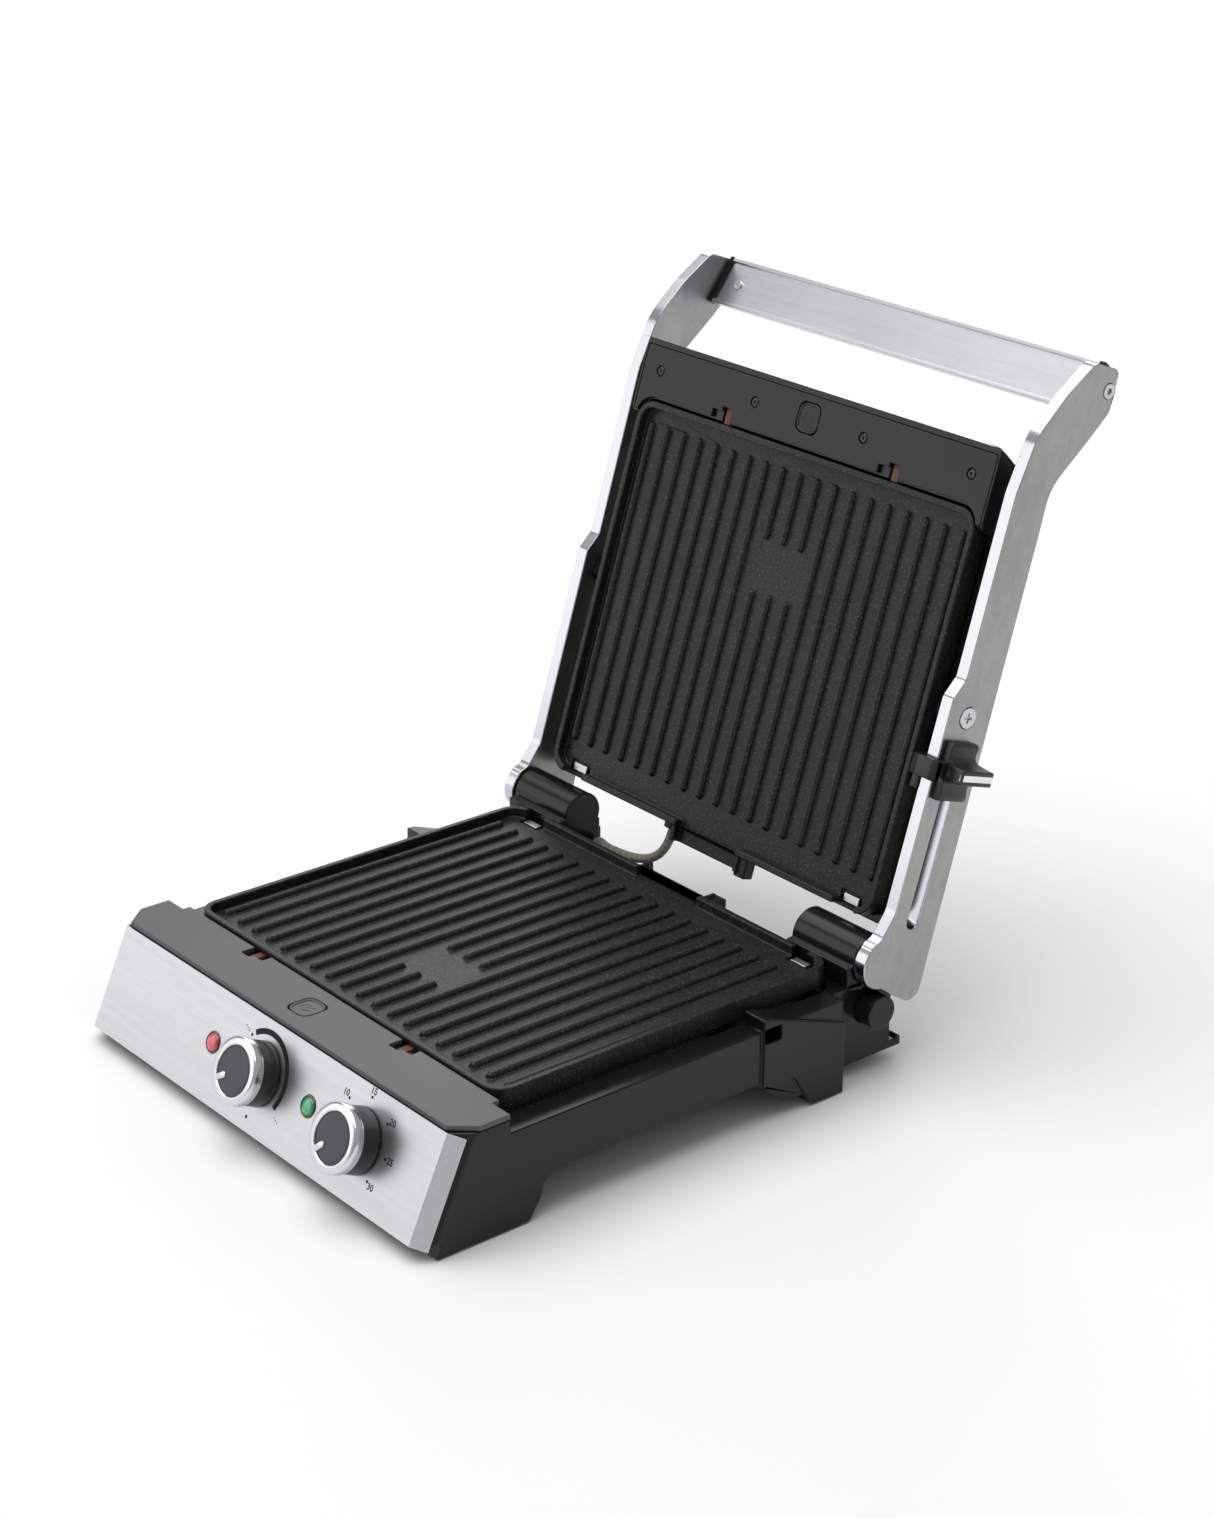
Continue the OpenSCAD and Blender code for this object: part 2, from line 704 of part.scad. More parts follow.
module hinge_cover() {
  front = tray_back + 0.6;
  color([0.05, 0.05, 0.055]) difference() {
    union() {
      rod_x(tower_in, tower_half - 0.2, hinge_y, hinge_z, barrel_r);
      box(tower_in, tower_half - 0.2, front, hinge_y + barrel_r, ledge_z, hinge_z - 6);
      box(tower_in, tower_half - 0.2, front, hinge_y, ledge_z, hinge_z - 0.4);
      for (y = [front + 2.4, front + 5.6])
        box(tower_in + 2, tower_half - 2.2, y, y + 1.4, ledge_z + 5, hinge_z + 0.4);
      box(tower_in, tower_in + 2, hinge_y - 4, hinge_y + barrel_r, hinge_z - 27, ledge_z + 1);
    }
    rod_x(tower_in + 2, tower_half + 1, hinge_y, hinge_z, pin_r + 4.4);
    box(tower_in + 2, tower_half + 1, hinge_y - 6.4, hinge_y + 6.4, hinge_z - barrel_r - 1, hinge_z);
  }
}

module hinge_cover_right() { hinge_cover(); }

module hinge_cover_left() { mirror([1, 0, 0]) hinge_cover(); }

module hinge_pin() {
  color([0.7, 0.7, 0.72]) rod_x(tower_in + 20, arm_out - 1.8, hinge_y, hinge_z, pin_r);
}

module hinge_pin_right() { hinge_pin(); }

module hinge_pin_left() { mirror([1, 0, 0]) hinge_pin(); }

module stop_button() {
  color([0.06, 0.06, 0.065]) difference() {
    rod_x(tower_half - 14, stop_out, stop_y, stop_z, stop_r);
    rod_x(tower_half - 15, tower_half - 10, stop_y, stop_z, stop_r - 3);
  }
}

module stop_button_spring() {
  color([0.7, 0.7, 0.72]) translate([tower_half - 36, stop_y, stop_z]) rotate([0, 90, 0])
    coil_spring(5.4, 0.7, 26, 5);
}

// ---- Knobs ---------------------------------------------------------------------------------

module knob(x) {
  color([0.1, 0.1, 0.11]) on_panel() translate([x, knob_v, 0]) difference() {
    union() {
      translate([0, 0, 0.8]) cylinder(r = knob_r - 0.7, h = knob_height - 7.3);
      translate([0, 0, 0.8]) cylinder(r = knob_r - 4.9, h = knob_height - 1.7);
    }
    cylinder(r = 3, h = 12);
  }
}

module knob_ring(x, pointer) {
  color([0.8, 0.8, 0.82]) on_panel() translate([x, knob_v, 0]) {
    difference() {
      translate([0, 0, knob_height - 6.5]) cylinder(r = knob_r, h = 6.5);
      translate([0, 0, knob_height - 7]) cylinder(r = knob_r - 4.9, h = 8);
    }
    // pointer bar across the face
    rotate(pointer) intersection() {
      translate([knob_r * 0.45, -1.3, knob_height - 0.9]) cube([knob_r * 0.4, 2.6, 0.7]);
      cylinder(r = knob_r - 3, h = 40);
    }
  }
}

module control_shaft(x) {
  color([0.75, 0.75, 0.77]) on_panel() translate([x, knob_v, -15.5]) cylinder(r = 3, h = 27.5);
}

module thermostat_knob() { knob(0); }

module thermostat_knob_ring() { knob_ring(0, thermostat_pointer); }

module thermostat_shaft() { control_shaft(0); }

module timer_knob() { knob(timer_x); }

module timer_knob_ring() { knob_ring(timer_x, timer_pointer); }

module timer_shaft() { control_shaft(timer_x); }

// ---- Lid -----------------------------------------------------------------------------------

// Side view of an arm: [reach from the hinge, height above it, corner radius]
module arm_profile() {
  step = pivot_reach + 10;
  tip = lid_reach + 57.3;
  outline = [[-11.2, -6, 4], [-15.5, 6, 6], [-19, 17, 4], [-22.5, 29.5, 8],
    [-17, 36.2, 8], [lid_reach - 40, 31.5, 20], [lid_reach - 16, 30.5, 30], [lid_reach + 18, 53.5, 30],
    [lid_reach + 32, 62.2, 6], [tip - 1, 61.2, 4], [tip, 40, 8], [lid_reach + 37, 23.5, 20],
    [lid_reach + 12, 8.5, 40], [lid_reach - 22, 3.6, 40], [step + 12, 4.6, 6], [step, -2, 6],
    [30, -1.3, 12], [14, -7, 10], [10, -13, 6], [-6, -13, 6]];
  polygon([for (p = rounded(outline)) [hinge_y - p.x, hinge_z + p.y]]);
}

// Where the stop button lies in the side view once the lid is closed
function stop_closed() =
  let (y = stop_y - hinge_y, z = stop_z - hinge_z)
  [y * cos(open_angle) - z * sin(open_angle), y * sin(open_angle) + z * cos(open_angle)];

module arm() {
  notch = stop_closed();
  color([0.66, 0.66, 0.68]) difference() {
    union() {
      along_x(arm_in, arm_out) arm_profile();
      rod_x(arm_in, arm_out, hinge_y, hinge_z, 15);
    }
    rod_x(arm_in - 1, arm_out - 1.6, hinge_y, hinge_z, pin_r + running_fit);
    rod_x(arm_in - 1, arm_out + 1, hinge_y - pivot_reach, hinge_z + pivot_h, pivot_r);
    rod_x(arm_out - 2.6, arm_out + 1, hinge_y - pivot_reach, hinge_z + pivot_h, 6.4);
    rod_x(arm_in - 1, arm_out + 1, handle_bolt_y, handle_bolt_z, 2.5);
    rod_x(arm_out - 1.5, arm_out + 1, handle_bolt_y, handle_bolt_z, 4.6);
    rod_x(arm_in - 1, arm_out + 1, hinge_y + notch.x, hinge_z + notch.y, stop_r + gap);
  }
}

module arm_left() { opened() mirror([1, 0, 0]) arm(); }

module arm_right() {
  color([0.66, 0.66, 0.68]) opened() difference() {
    arm();
    // slot for the lock slider
    for (reach = slot_reach) rod_x(arm_in - 1, arm_out + 1, hinge_y - reach, hinge_z + slot_h, slot_w / 2);
    box(arm_in - 1, arm_out + 1, hinge_y - slot_reach[1], hinge_y - slot_reach[0],
      hinge_z + slot_h - slot_w / 2, hinge_z + slot_h + slot_w / 2);
  }
}

// Handle section: flat grip face below, domed back above
module handle_profile(deep) {
  translate([hinge_y - handle_reach, hinge_z + handle_h]) rotate(180 - handle_tilt) difference() {
    mirror([0, 1]) polygon(rounded([[-1.5, -1.8, 0.8], [-1.5, 4.5, 3], [7, handle_t, 9],
      [handle_w - 6, handle_t, 8], [handle_w + 1.2, 4, 3], [handle_w + 1.2, -1.8, 1.2]]));
    mirror([0, 1]) translate([1, -3]) square([handle_w - 3, deep ? 3 : 0.01]);
  }
}

module handle_bar() {
  color([0.78, 0.78, 0.8]) opened() difference() {
    along_x(-handle_half, handle_half) handle_profile(true);
    both_sides() {
      rod_x(handle_half - 14, handle_half + 1, handle_bolt_y, handle_bolt_z, 2.5);
      handle_screw_place() cylinder(r = 1.7, h = 8, center = true);
    }
  }
}

module handle_end_caps() {
  color([0.05, 0.05, 0.05]) opened() both_sides() difference() {
    along_x(handle_half, arm_in) handle_profile(false);
    rod_x(handle_half - 1, arm_in + 1, handle_bolt_y, handle_bolt_z, 2.5);
  }
}

module handle_bolts() {
  color([0.6, 0.6, 0.62]) opened() both_sides() difference() {
    union() {
      rod_x(handle_half - 9, arm_out - 1.5, handle_bolt_y, handle_bolt_z, 2.5);
      rod_x(arm_out - 1.5, arm_out + 0.4, handle_bolt_y, handle_bolt_z, 4.4);
    }
    translate([arm_out, handle_bolt_y, handle_bolt_z]) rotate([0, 90, 0])
      cylinder(r = 2, h = 4, center = true, $fn = 6);
  }
}

// Frame of the screws in the grip face
module handle_screw_place() {
  translate([handle_half - 13.7, hinge_y - handle_reach, hinge_z + handle_h]) rotate([-handle_tilt, 0, 0])
    translate([0, -handle_w * 0.46, 0]) children();
}

module handle_screws() {
  color([0.75, 0.78, 0.78]) opened() both_sides() handle_screw_place() mirror([0, 0, 1]) screw(3, 1.6, 3.8);
}

module pivot_screws() {
  y = hinge_y - pivot_reach;
  z = hinge_z + pivot_h;
  color([0.62, 0.62, 0.64]) opened() both_sides() difference() {
    union() {
      rod_x(lid_pocket + 0.4, arm_out - 2.6, y, z, pivot_r);
      rod_x(arm_out - 2.6, arm_out + 0.4, y, z, 6.2);
    }
    for (a = [0, 90]) translate([arm_out, y, z]) rotate([a, 0, 0]) cube([2, 6, 1.2], center = true);
  }
}

module lock_slider() {
  y = hinge_y - grip_reach;
  z = hinge_z + slot_h;
  color([0.06, 0.06, 0.065]) opened() {
    difference() {
      union() {
        translate([arm_out + 0.3, y, z]) rotate([0, 90, 0]) rotate(90) linear_extrude(6.5)
          round_rect(-17, 17, -13.5, 8.5, 4);
        translate([arm_out + 5, y - 1, z]) rotate([0, 90, 0]) rotate(90) linear_extrude(15.2)
          round_rect(-4.5, 4.5, -15.5, 10.5, 2.5);
      }
      // groove for the bright trim
      translate([arm_out + 10, y - 1, z]) rotate([0, 90, 0]) rotate(90) linear_extrude(20) difference() {
        translate([-1.8, -16.5]) square([3.6, 28]);
        translate([-1.8, -14.3]) square([3.6, 23.6]);
      }
      translate([slider_out - 1.2, y - 1, z]) rotate([0, 90, 0]) rotate(90) linear_extrude(5)
        translate([-1.8, -16.5]) square([3.6, 28]);
    }
    // strap round the front edge of the arm, with its inner pad
    box(arm_in - 5.2, arm_out + 6, y - 6, y + 6, hinge_z - 7, hinge_z - 3);
    box(arm_in - 5.2, arm_in - 0.4, y - 6, y + 6, hinge_z - 7, hinge_z + 6);
    box(arm_in - 5.2, arm_in - 0.4, y + 2, y + 14, hinge_z - 3.5, hinge_z + 2.5);
    box(arm_out + 0.3, arm_out + 6, y - 6, y + 6, hinge_z - 7, hinge_z + 8);
  }
}

module lock_slider_trim() {
  y = hinge_y - grip_reach - 1;
  z = hinge_z + slot_h;
  color([0.85, 0.85, 0.87]) opened() translate([arm_out + 10, y, z]) rotate([0, 90, 0]) rotate(90)
    difference() {
      linear_extrude(slider_out - arm_out - 9.8) translate([-1.8, -15.5]) square([3.6, 26]);
      translate([-2, -14.3, -1]) cube([4, 23.6, slider_out - arm_out - 10.2]);
    }
}

module slider_guide_pin() {
  y = hinge_y - slider_pin_reach;
  z = hinge_z + slot_h;
  color([0.7, 0.7, 0.72]) opened() {
    rod_x(arm_in - pin_head, arm_out + 0.3, y, z, slot_w / 2 - 0.3);
    rod_x(arm_in - pin_head, arm_in - gap, y, z, slot_w / 2 + 2);
  }
}

// ---- Upper housing, drawn closed -------------------------------------------------------------

// Solid of the lid between two heights, with its leaning front end
module lid_block(inset, z0, z1) {
  slope = tan(lid_lean);
  front = lid_front + inset;
  intersection() {
    along_x(-lid_half + inset, lid_half - inset)
      polygon([[front + (z0 - trim_z) * slope, z0], [front + (z1 - trim_z) * slope, z1],
        [lid_back - inset, z1], [lid_back - inset, z0]]);
    translate([0, 0, z0 - 1]) linear_extrude(z1 - z0 + 2)
      round_rect(-lid_half + inset, lid_half - inset, front, lid_back - inset, 3);
  }
}

// Button compartment behind the trim, drawn in by an inset
module nose_hollow(inset, z0, z1) {
  intersection() {
    lid_block(inset, z0, z1);
    box(-lid_half, lid_half, -200, plate_front - 8, 0, 300);
  }
}

// Sunk field for the trim, grown by a margin
module trim_field(grow) {
  half = lid_half - trim_side + grow;
  round_rect(-half, half, lid_front + trim_end - grow, nose_back - trim_side + grow, 1.5);
}

module upper_housing() {
  pivot = [hinge_y - pivot_reach, hinge_z + pivot_h];
  color([0.05, 0.05, 0.055]) opened() difference() {
    union() {
      difference() {
        // outside, with a nose below the rim that holds the trim and the release button
        intersection() {
          lid_block(0, trim_z, lid_top - cover_skirt);
          along_x(-lid_half - 1, lid_half + 1) polygon(rounded([[lid_front - 1, trim_z, 0],
            [nose_back, trim_z, 5], [nose_back + 3, rim_h, 8], [lid_back + 1, rim_h, 0],
            [lid_back + 1, lid_top, 0], [lid_front - 1, lid_top, 0]]));
        }
        // pocket for the plate
        translate([0, 0, trim_z - 1]) linear_extrude(ceiling_z - trim_z + 1)
          round_rect(-lid_pocket, lid_pocket, front_wall_y, tray_back, plate_r + 1.3);
        translate([0, 0, trim_z - 1]) linear_extrude(trim_t + 1) trim_field(gap);
        nose_hollow(trim_end + trim_rib, trim_z + trim_t - 1, ceiling_z);
        lid_block(lid_wall, ceiling_z + lid_wall, lid_top);
      }
      both_sides() rod_x(lid_pocket + 0.2, arm_in - 0.3, pivot.x, pivot.y, 8);
      latch_posts(ceiling_z - 9, ceiling_z + 1);
      // bosses of the trim screws
      trim_screw_places() translate([0, 0, trim_t])
        cylinder(r = screw_hole_r + 1.3, h = ceiling_z - trim_z - trim_t + 1);
      // sleeve of the wiring conduit
      translate([conduit_x, tray_back + 0.2, conduit_top_z]) rotate([-90, 0, 0])
        cylinder(r = 6, h = conduit_end_y - tray_back - 0.2);
    }
    both_sides() rod_x(lid_pocket, arm_in + 1, pivot.x, pivot.y, pivot_r + running_fit);
    trim_screw_places() cylinder(r = screw_hole_r, h = 60, center = true);
    // room for the spring of the button, which reaches into the leaning wall
    translate([0, button_y, trim_z + button_t])
      cylinder(r = button_spring_r + 0.9, h = ceiling_z - trim_z - button_t);
    // slots for the latch noses, and room for the button
    for (x = latch_places(1))
      box(x - latch_w / 2 - 1, x + latch_w / 2 + 1, plate_front - 9, front_wall_y + 1,
        trim_z, ceiling_z - 10);
    translate([0, 0, trim_z - 1]) intersection() {
      release_cuts(1);
      box(-20, 20, button_y - 20, button_y + 20, 0, button_cap + button_press + 1.5);
    }
  }
}

module upper_cover() {
  base = lid_top - cover_skirt;
  color([0.7, 0.7, 0.72]) opened() difference() {
    intersection() {
      lid_block(0, base, lid_top);
      rotate([90, 0, 0]) translate([0, 0, -500]) linear_extrude(1000)
        polygon([[-lid_half, base], [lid_half, base], [lid_half, lid_top - 6], [lid_half - 14, lid_top],
          [-lid_half + 14, lid_top], [-lid_half, lid_top - 6]]);
    }
    intersection() {
      lid_block(sheet, base - 1, lid_top - sheet);
      rotate([90, 0, 0]) translate([0, 0, -500]) linear_extrude(1000)
        polygon([[-lid_half, base - 2], [lid_half, base - 2], [lid_half, lid_top - 6 - sheet],
          [lid_half - 14, lid_top - sheet], [-lid_half + 14, lid_top - sheet],
          [-lid_half, lid_top - 6 - sheet]]);
    }
  }
}

// Frames of the four screws in the trim, at the trim's face
module trim_screw_places() {
  for (x = [-1, -0.35, 0.35, 1])
    translate([x * (plate_half - 12), trim_screw_y, trim_z]) children();
}

module upper_trim() {
  color([0.09, 0.09, 0.1]) opened() difference() {
    translate([0, 0, trim_z]) linear_extrude(trim_t) difference() {
      trim_field(0);
      round_rect(-lid_pocket, lid_pocket, trim_back, nose_back + 60, plate_r + 1.3);
    }
    translate([0, 0, trim_z - 100]) release_cuts(1);
    trim_screw_places() cylinder(r = screw_hole_r, h = 60, center = true);
    trim_screw_places() translate([0, 0, -1]) cylinder(r = 3.4, h = 2.2);
  }
}

module trim_screws() {
  color([0.35, 0.35, 0.36]) opened() trim_screw_places() translate([0, 0, 1.2]) mirror([0, 0, 1])
    intersection() {
      screw(3.2, 1.6, 17);
      translate([0, 0, -50]) cylinder(r = 5, h = 51);
    }
}

module upper_plate() { opened() flipped() plate(1); }

module upper_heater() { opened() flipped() heater(); }

module upper_reflector() { opened() flipped() reflector(); }

module upper_plate_clips() { opened() flipped() plate_clips(); }

module upper_release_button() { opened() flipped() release_button(2 * hinge_z - trim_z); }

module upper_button_spring() { opened() flipped() button_spring(2 * hinge_z - trim_z); }

module upper_latch_bar() { opened() flipped() latch_bar(2 * hinge_z - trim_z, 1); }

module upper_latch_spring() { opened() flipped() latch_springs(); }

// ---- Wiring conduit, from the left tower to the open lid --------------------------------------

// Point of a cubic curve with two end points and two handles
function bezier(p, t) =
  p[0] * pow(1 - t, 3) + p[1] * 3 * t * pow(1 - t, 2) + p[2] * 3 * t * t * (1 - t) + p[3] * pow(t, 3);

module wiring_conduit() {
  sides = 12;
  rings = 24;
  up = [0, -cos(open_angle), sin(open_angle)];
  end = [conduit_end_y - hinge_y, conduit_top_z - hinge_z];
  top = [conduit_x, hinge_y + end.x * cos(open_angle) + end.y * sin(open_angle),
    hinge_z - end.x * sin(open_angle) + end.y * cos(open_angle)];
  start = [-tower_in, hinge_y + 9, hinge_z - 20.7];
  curve = [start, start + [46, 0, -1], top - 26 * up, top];
  points = [for (i = [0 : rings])
    let (c = bezier(curve, i / rings),
         along = i == 0 ? [1, 0, 0] : i == rings ? up :
           unit(bezier(curve, (i + 0.5) / rings) - bezier(curve, (i - 0.5) / rings)),
         across = unit(cross(along, [0, 1, 0])),
         side = cross(along, across))
    for (k = [0 : sides - 1]) c + conduit_r * (across * cos(k * 360 / sides) + side * sin(k * 360 / sides))];
  walls = [for (i = [0 : rings - 1], k = [0 : sides - 1])
    let (m = (k + 1) % sides)
    each [[i * sides + k, (i + 1) * sides + m, (i + 1) * sides + k],
      [i * sides + k, i * sides + m, (i + 1) * sides + m]]];
  caps = [[for (k = [sides - 1 : -1 : 0]) k], [for (k = [0 : sides - 1]) rings * sides + k]];
  color([0.6, 0.57, 0.53]) polyhedron(points, concat(walls, caps), convexity = 6);
}

placed() base_housing();
placed() bottom_cover();
placed() bottom_screws();
placed() rubber_feet();
placed() front_panel();
placed() control_cover();
placed() power_lens();
placed() ready_lens();
placed() indicator_lamps();
placed() thermostat();
placed() timer();
placed() terminal_block();
placed() cord_gland();
placed() lower_plate();
placed() lower_heater();
placed() lower_reflector();
placed() lower_plate_clips();
placed() lower_button_spring();
placed() lower_latch_spring();
placed() hinge_cover_left();
placed() hinge_cover_right();
placed() hinge_pin_left();
placed() hinge_pin_right();
placed() stop_button_spring();
placed() thermostat_knob();
placed() thermostat_knob_ring();
placed() thermostat_shaft();
placed() timer_knob();
placed() timer_knob_ring();
placed() timer_shaft();
placed() lower_release_button();
placed() lower_latch_bar();
placed() stop_button();
placed() arm_left();
placed() arm_right();
placed() handle_bar();
placed() handle_end_caps();
placed() handle_bolts();
placed() handle_screws();
placed() pivot_screws();
placed() lock_slider();
placed() lock_slider_trim();
placed() slider_guide_pin();
placed() upper_housing();
placed() upper_cover();
placed() upper_trim();
placed() trim_screws();
placed() upper_plate();
placed() upper_heater();
placed() upper_reflector();
placed() upper_plate_clips();
placed() upper_button_spring();
placed() upper_latch_spring();
placed() upper_release_button();
placed() upper_latch_bar();
placed() wiring_conduit();
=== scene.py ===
"""Looks of the panini press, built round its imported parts."""

import json
import logging
import math
from dataclasses import dataclass, field
from enum import Enum

import bmesh
import bpy
from mathutils import Matrix, Vector

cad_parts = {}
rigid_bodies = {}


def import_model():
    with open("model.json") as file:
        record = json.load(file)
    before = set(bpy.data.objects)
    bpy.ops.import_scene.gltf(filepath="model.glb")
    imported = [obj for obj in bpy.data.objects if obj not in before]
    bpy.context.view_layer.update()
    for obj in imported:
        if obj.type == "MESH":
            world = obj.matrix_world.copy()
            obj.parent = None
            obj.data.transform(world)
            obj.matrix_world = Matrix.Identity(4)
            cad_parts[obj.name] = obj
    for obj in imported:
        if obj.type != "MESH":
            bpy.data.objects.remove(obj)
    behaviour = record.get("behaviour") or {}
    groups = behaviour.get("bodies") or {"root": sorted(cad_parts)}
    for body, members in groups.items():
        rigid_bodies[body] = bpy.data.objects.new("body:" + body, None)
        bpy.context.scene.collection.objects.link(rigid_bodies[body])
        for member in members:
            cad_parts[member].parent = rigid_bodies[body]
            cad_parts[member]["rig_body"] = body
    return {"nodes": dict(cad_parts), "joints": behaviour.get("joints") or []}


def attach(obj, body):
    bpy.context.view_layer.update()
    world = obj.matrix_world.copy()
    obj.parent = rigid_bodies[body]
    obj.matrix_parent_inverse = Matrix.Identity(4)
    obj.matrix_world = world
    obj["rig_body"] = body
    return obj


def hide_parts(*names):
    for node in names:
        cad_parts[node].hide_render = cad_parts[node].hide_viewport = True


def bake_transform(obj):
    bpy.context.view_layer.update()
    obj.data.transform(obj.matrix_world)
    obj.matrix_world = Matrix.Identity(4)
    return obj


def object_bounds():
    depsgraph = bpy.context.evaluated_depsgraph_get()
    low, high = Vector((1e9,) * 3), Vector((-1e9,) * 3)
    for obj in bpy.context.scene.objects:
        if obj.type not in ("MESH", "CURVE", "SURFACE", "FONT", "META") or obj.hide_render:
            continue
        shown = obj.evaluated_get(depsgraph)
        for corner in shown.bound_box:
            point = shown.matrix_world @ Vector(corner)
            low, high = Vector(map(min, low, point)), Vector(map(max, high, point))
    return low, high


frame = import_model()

LOG = logging.getLogger("panini_press")
MM = 0.001
CAD_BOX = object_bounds()
Colour = tuple[float, float, float]


# ---- Shader expressions ---------------------------------------------------------------------


class Value:
    """A shader socket or a number, with the arithmetic of Math nodes."""

    def __init__(self, graph: "Graph", socket: bpy.types.NodeSocket) -> None:
        """Wraps one output socket of a graph."""
        self.graph = graph
        self.socket = socket

    def math(self, operation: str, *others: "Value | float", first: "Value | float | None" = None) -> "Value":
        """Adds one Math node.

        Args:
            operation: The node's operation.
            others: The values after the first one.
            first: The first value, or None for this one.

        Returns:
            The node's result.
        """
        lead = self if first is None else first
        node = self.graph.node("ShaderNodeMath", {"operation": operation}, dict(enumerate((lead, *others))))
        return Value(self.graph, node.outputs[0])

    def __add__(self, other: "Value | float") -> "Value":
        """Sum."""
        return self.math("ADD", other)

    __radd__ = __add__

    def __sub__(self, other: "Value | float") -> "Value":
        """Difference."""
        return self.math("SUBTRACT", other)

    def __rsub__(self, other: float) -> "Value":
        """Difference from a number."""
        return self.math("SUBTRACT", self, first=other)

    def __mul__(self, other: "Value | float") -> "Value":
        """Product."""
        return self.math("MULTIPLY", other)

    __rmul__ = __mul__

    def __pow__(self, other: float) -> "Value":
        """Power."""
        return self.math("POWER", other)

    def __abs__(self) -> "Value":
        """Size without sign."""
        return self.math("ABSOLUTE")

    def clamp(self) -> "Value":
        """Limited to 0 to 1."""
        return self.math("MINIMUM", 1.0).math("MAXIMUM", 0.0)

    def step(self, low: float, high: float) -> "Value":
        """Rises smoothly from 0 at low to 1 at high."""
        node = self.graph.node(
            "ShaderNodeMapRange", {"interpolation_type": "SMOOTHSTEP"},
            {"Value": self, "From Min": low, "From Max": high},
        )
        return Value(self.graph, node.outputs["Result"])


class Graph:
    """The node tree of one material."""

    def __init__(self, name: str) -> None:
        """Starts an empty material with a Principled shader."""
        self.material = bpy.data.materials.new(name)
        self.material.use_nodes = True
        self.tree = self.material.node_tree
        self.tree.nodes.clear()
        self.shader = self.node("ShaderNodeBsdfPrincipled")
        self.node("ShaderNodeOutputMaterial", {}, {"Surface": self.shader.outputs["BSDF"]})
        self.place = self.node("ShaderNodeTexCoord").outputs["Object"]

    def node(self, kind: str, settings: dict[str, object] | None = None,
             inputs: dict[str | int, object] | None = None) -> bpy.types.Node:
        """Adds a node.

        Args:
            kind: The node's type.
            settings: Its properties, set first.
            inputs: Values or links of its sockets, by name or number.

        Returns:
            The node.
        """
        node = self.tree.nodes.new(kind)
        for key, value in (settings or {}).items():
            setattr(node, key, value)
        for key, value in (inputs or {}).items():
            if isinstance(value, Value):
                value = value.socket
            if isinstance(value, bpy.types.NodeSocket):
                self.tree.links.new(value, node.inputs[key])
            else:
                node.inputs[key].default_value = value
        return node

    def mapped(self, scale: Colour, turn: Colour = (0, 0, 0),
               centre: Colour = (0, 0, 0)) -> bpy.types.NodeSocket:
        """The piece's own coordinates, moved to a centre, turned, and then scaled.

        Args:
            scale: Scale along each axis.
            turn: Turn about each axis in radians.
            centre: The point that becomes the origin.

        Returns:
            The mapped vector.
        """
        moved = self.node("ShaderNodeMapping", {},
                          {"Vector": self.place, "Location": tuple(-c for c in centre)})
        turned = self.node("ShaderNodeMapping", {}, {"Vector": moved.outputs[0], "Rotation": turn})
        sized = self.node("ShaderNodeMapping", {}, {"Vector": turned.outputs[0], "Scale": scale})
        return sized.outputs[0]

    def noise(self, vector: bpy.types.NodeSocket, scale: float, detail: float = 3,
              rough: float = 0.55) -> Value:
        """A noise field, about 0.5 in the middle."""
        node = self.node("ShaderNodeTexNoise", {}, {"Vector": vector, "Scale": scale, "Detail": detail,
                                                    "Roughness": rough})
        return Value(self, node.outputs["Fac"])

    def axis(self, vector: bpy.types.NodeSocket, index: int) -> Value:
        """One component of a vector."""
        return Value(self, self.node("ShaderNodeSeparateXYZ", {}, {0: vector}).outputs[index])

    def normal(self, index: int) -> Value:
        """One component of the surface's normal in the piece's own frame."""
        turned = self.node(
            "ShaderNodeVectorTransform",
            {"vector_type": "NORMAL", "convert_from": "WORLD", "convert_to": "OBJECT"},
            {0: self.node("ShaderNodeNewGeometry").outputs["Normal"]})
        return self.axis(turned.outputs[0], index)

    def mix(self, factor: Value, a: Colour | bpy.types.NodeSocket,
            b: Colour | bpy.types.NodeSocket) -> bpy.types.NodeSocket:
        """A colour between a and b."""
        def full(c: object) -> object:
            """A colour with its alpha."""
            return c if isinstance(c, bpy.types.NodeSocket) else (*c, 1.0)
        node = self.node("ShaderNodeMix", {"data_type": "RGBA"}, {0: factor, 6: full(a), 7: full(b)})
        return node.outputs[2]

    def bump(self, height: Value, distance: float, strength: float = 1.0) -> None:
        """Raises the surface by a height field."""
        node = self.node("ShaderNodeBump", {}, {"Height": height, "Distance": distance, "Strength": strength})
        self.set(Normal=node.outputs[0])

    def set(self, **sockets: object) -> None:
        """Sets sockets of the shader, with underscores for blanks."""
        for key, value in sockets.items():
            name = key.replace("_", " ")
            if isinstance(value, Value):
                value = value.socket
            if isinstance(value, bpy.types.NodeSocket):
                self.tree.links.new(value, self.shader.inputs[name])
            else:
                full = (*value, 1.0) if isinstance(value, tuple) and len(value) == 3 else value
                self.shader.inputs[name].default_value = full


# ---- Finishes -------------------------------------------------------------------------------


@dataclass(frozen=True)
class Finish:
    """A surface finish.

    Attributes:
        name: Name of the material.
        slot: The record's material slot; not used.
        colour: Its main colour.
        rough: Its roughness.
    """

    name: str
    slot: str
    colour: Colour
    rough: float

    def paint(self, graph: Graph) -> None:
        """Sets the shader."""
        graph.set(Base_Color=self.colour, Roughness=self.rough)

    def material(self) -> bpy.types.Material:
        """The finish as a material, made once."""
        found = bpy.data.materials.get(self.name)
        if found is None:
            graph = Graph(self.name)
            self.paint(graph)
            graph.material.diffuse_color = (*self.colour, 1.0)
            found = graph.material
        return found


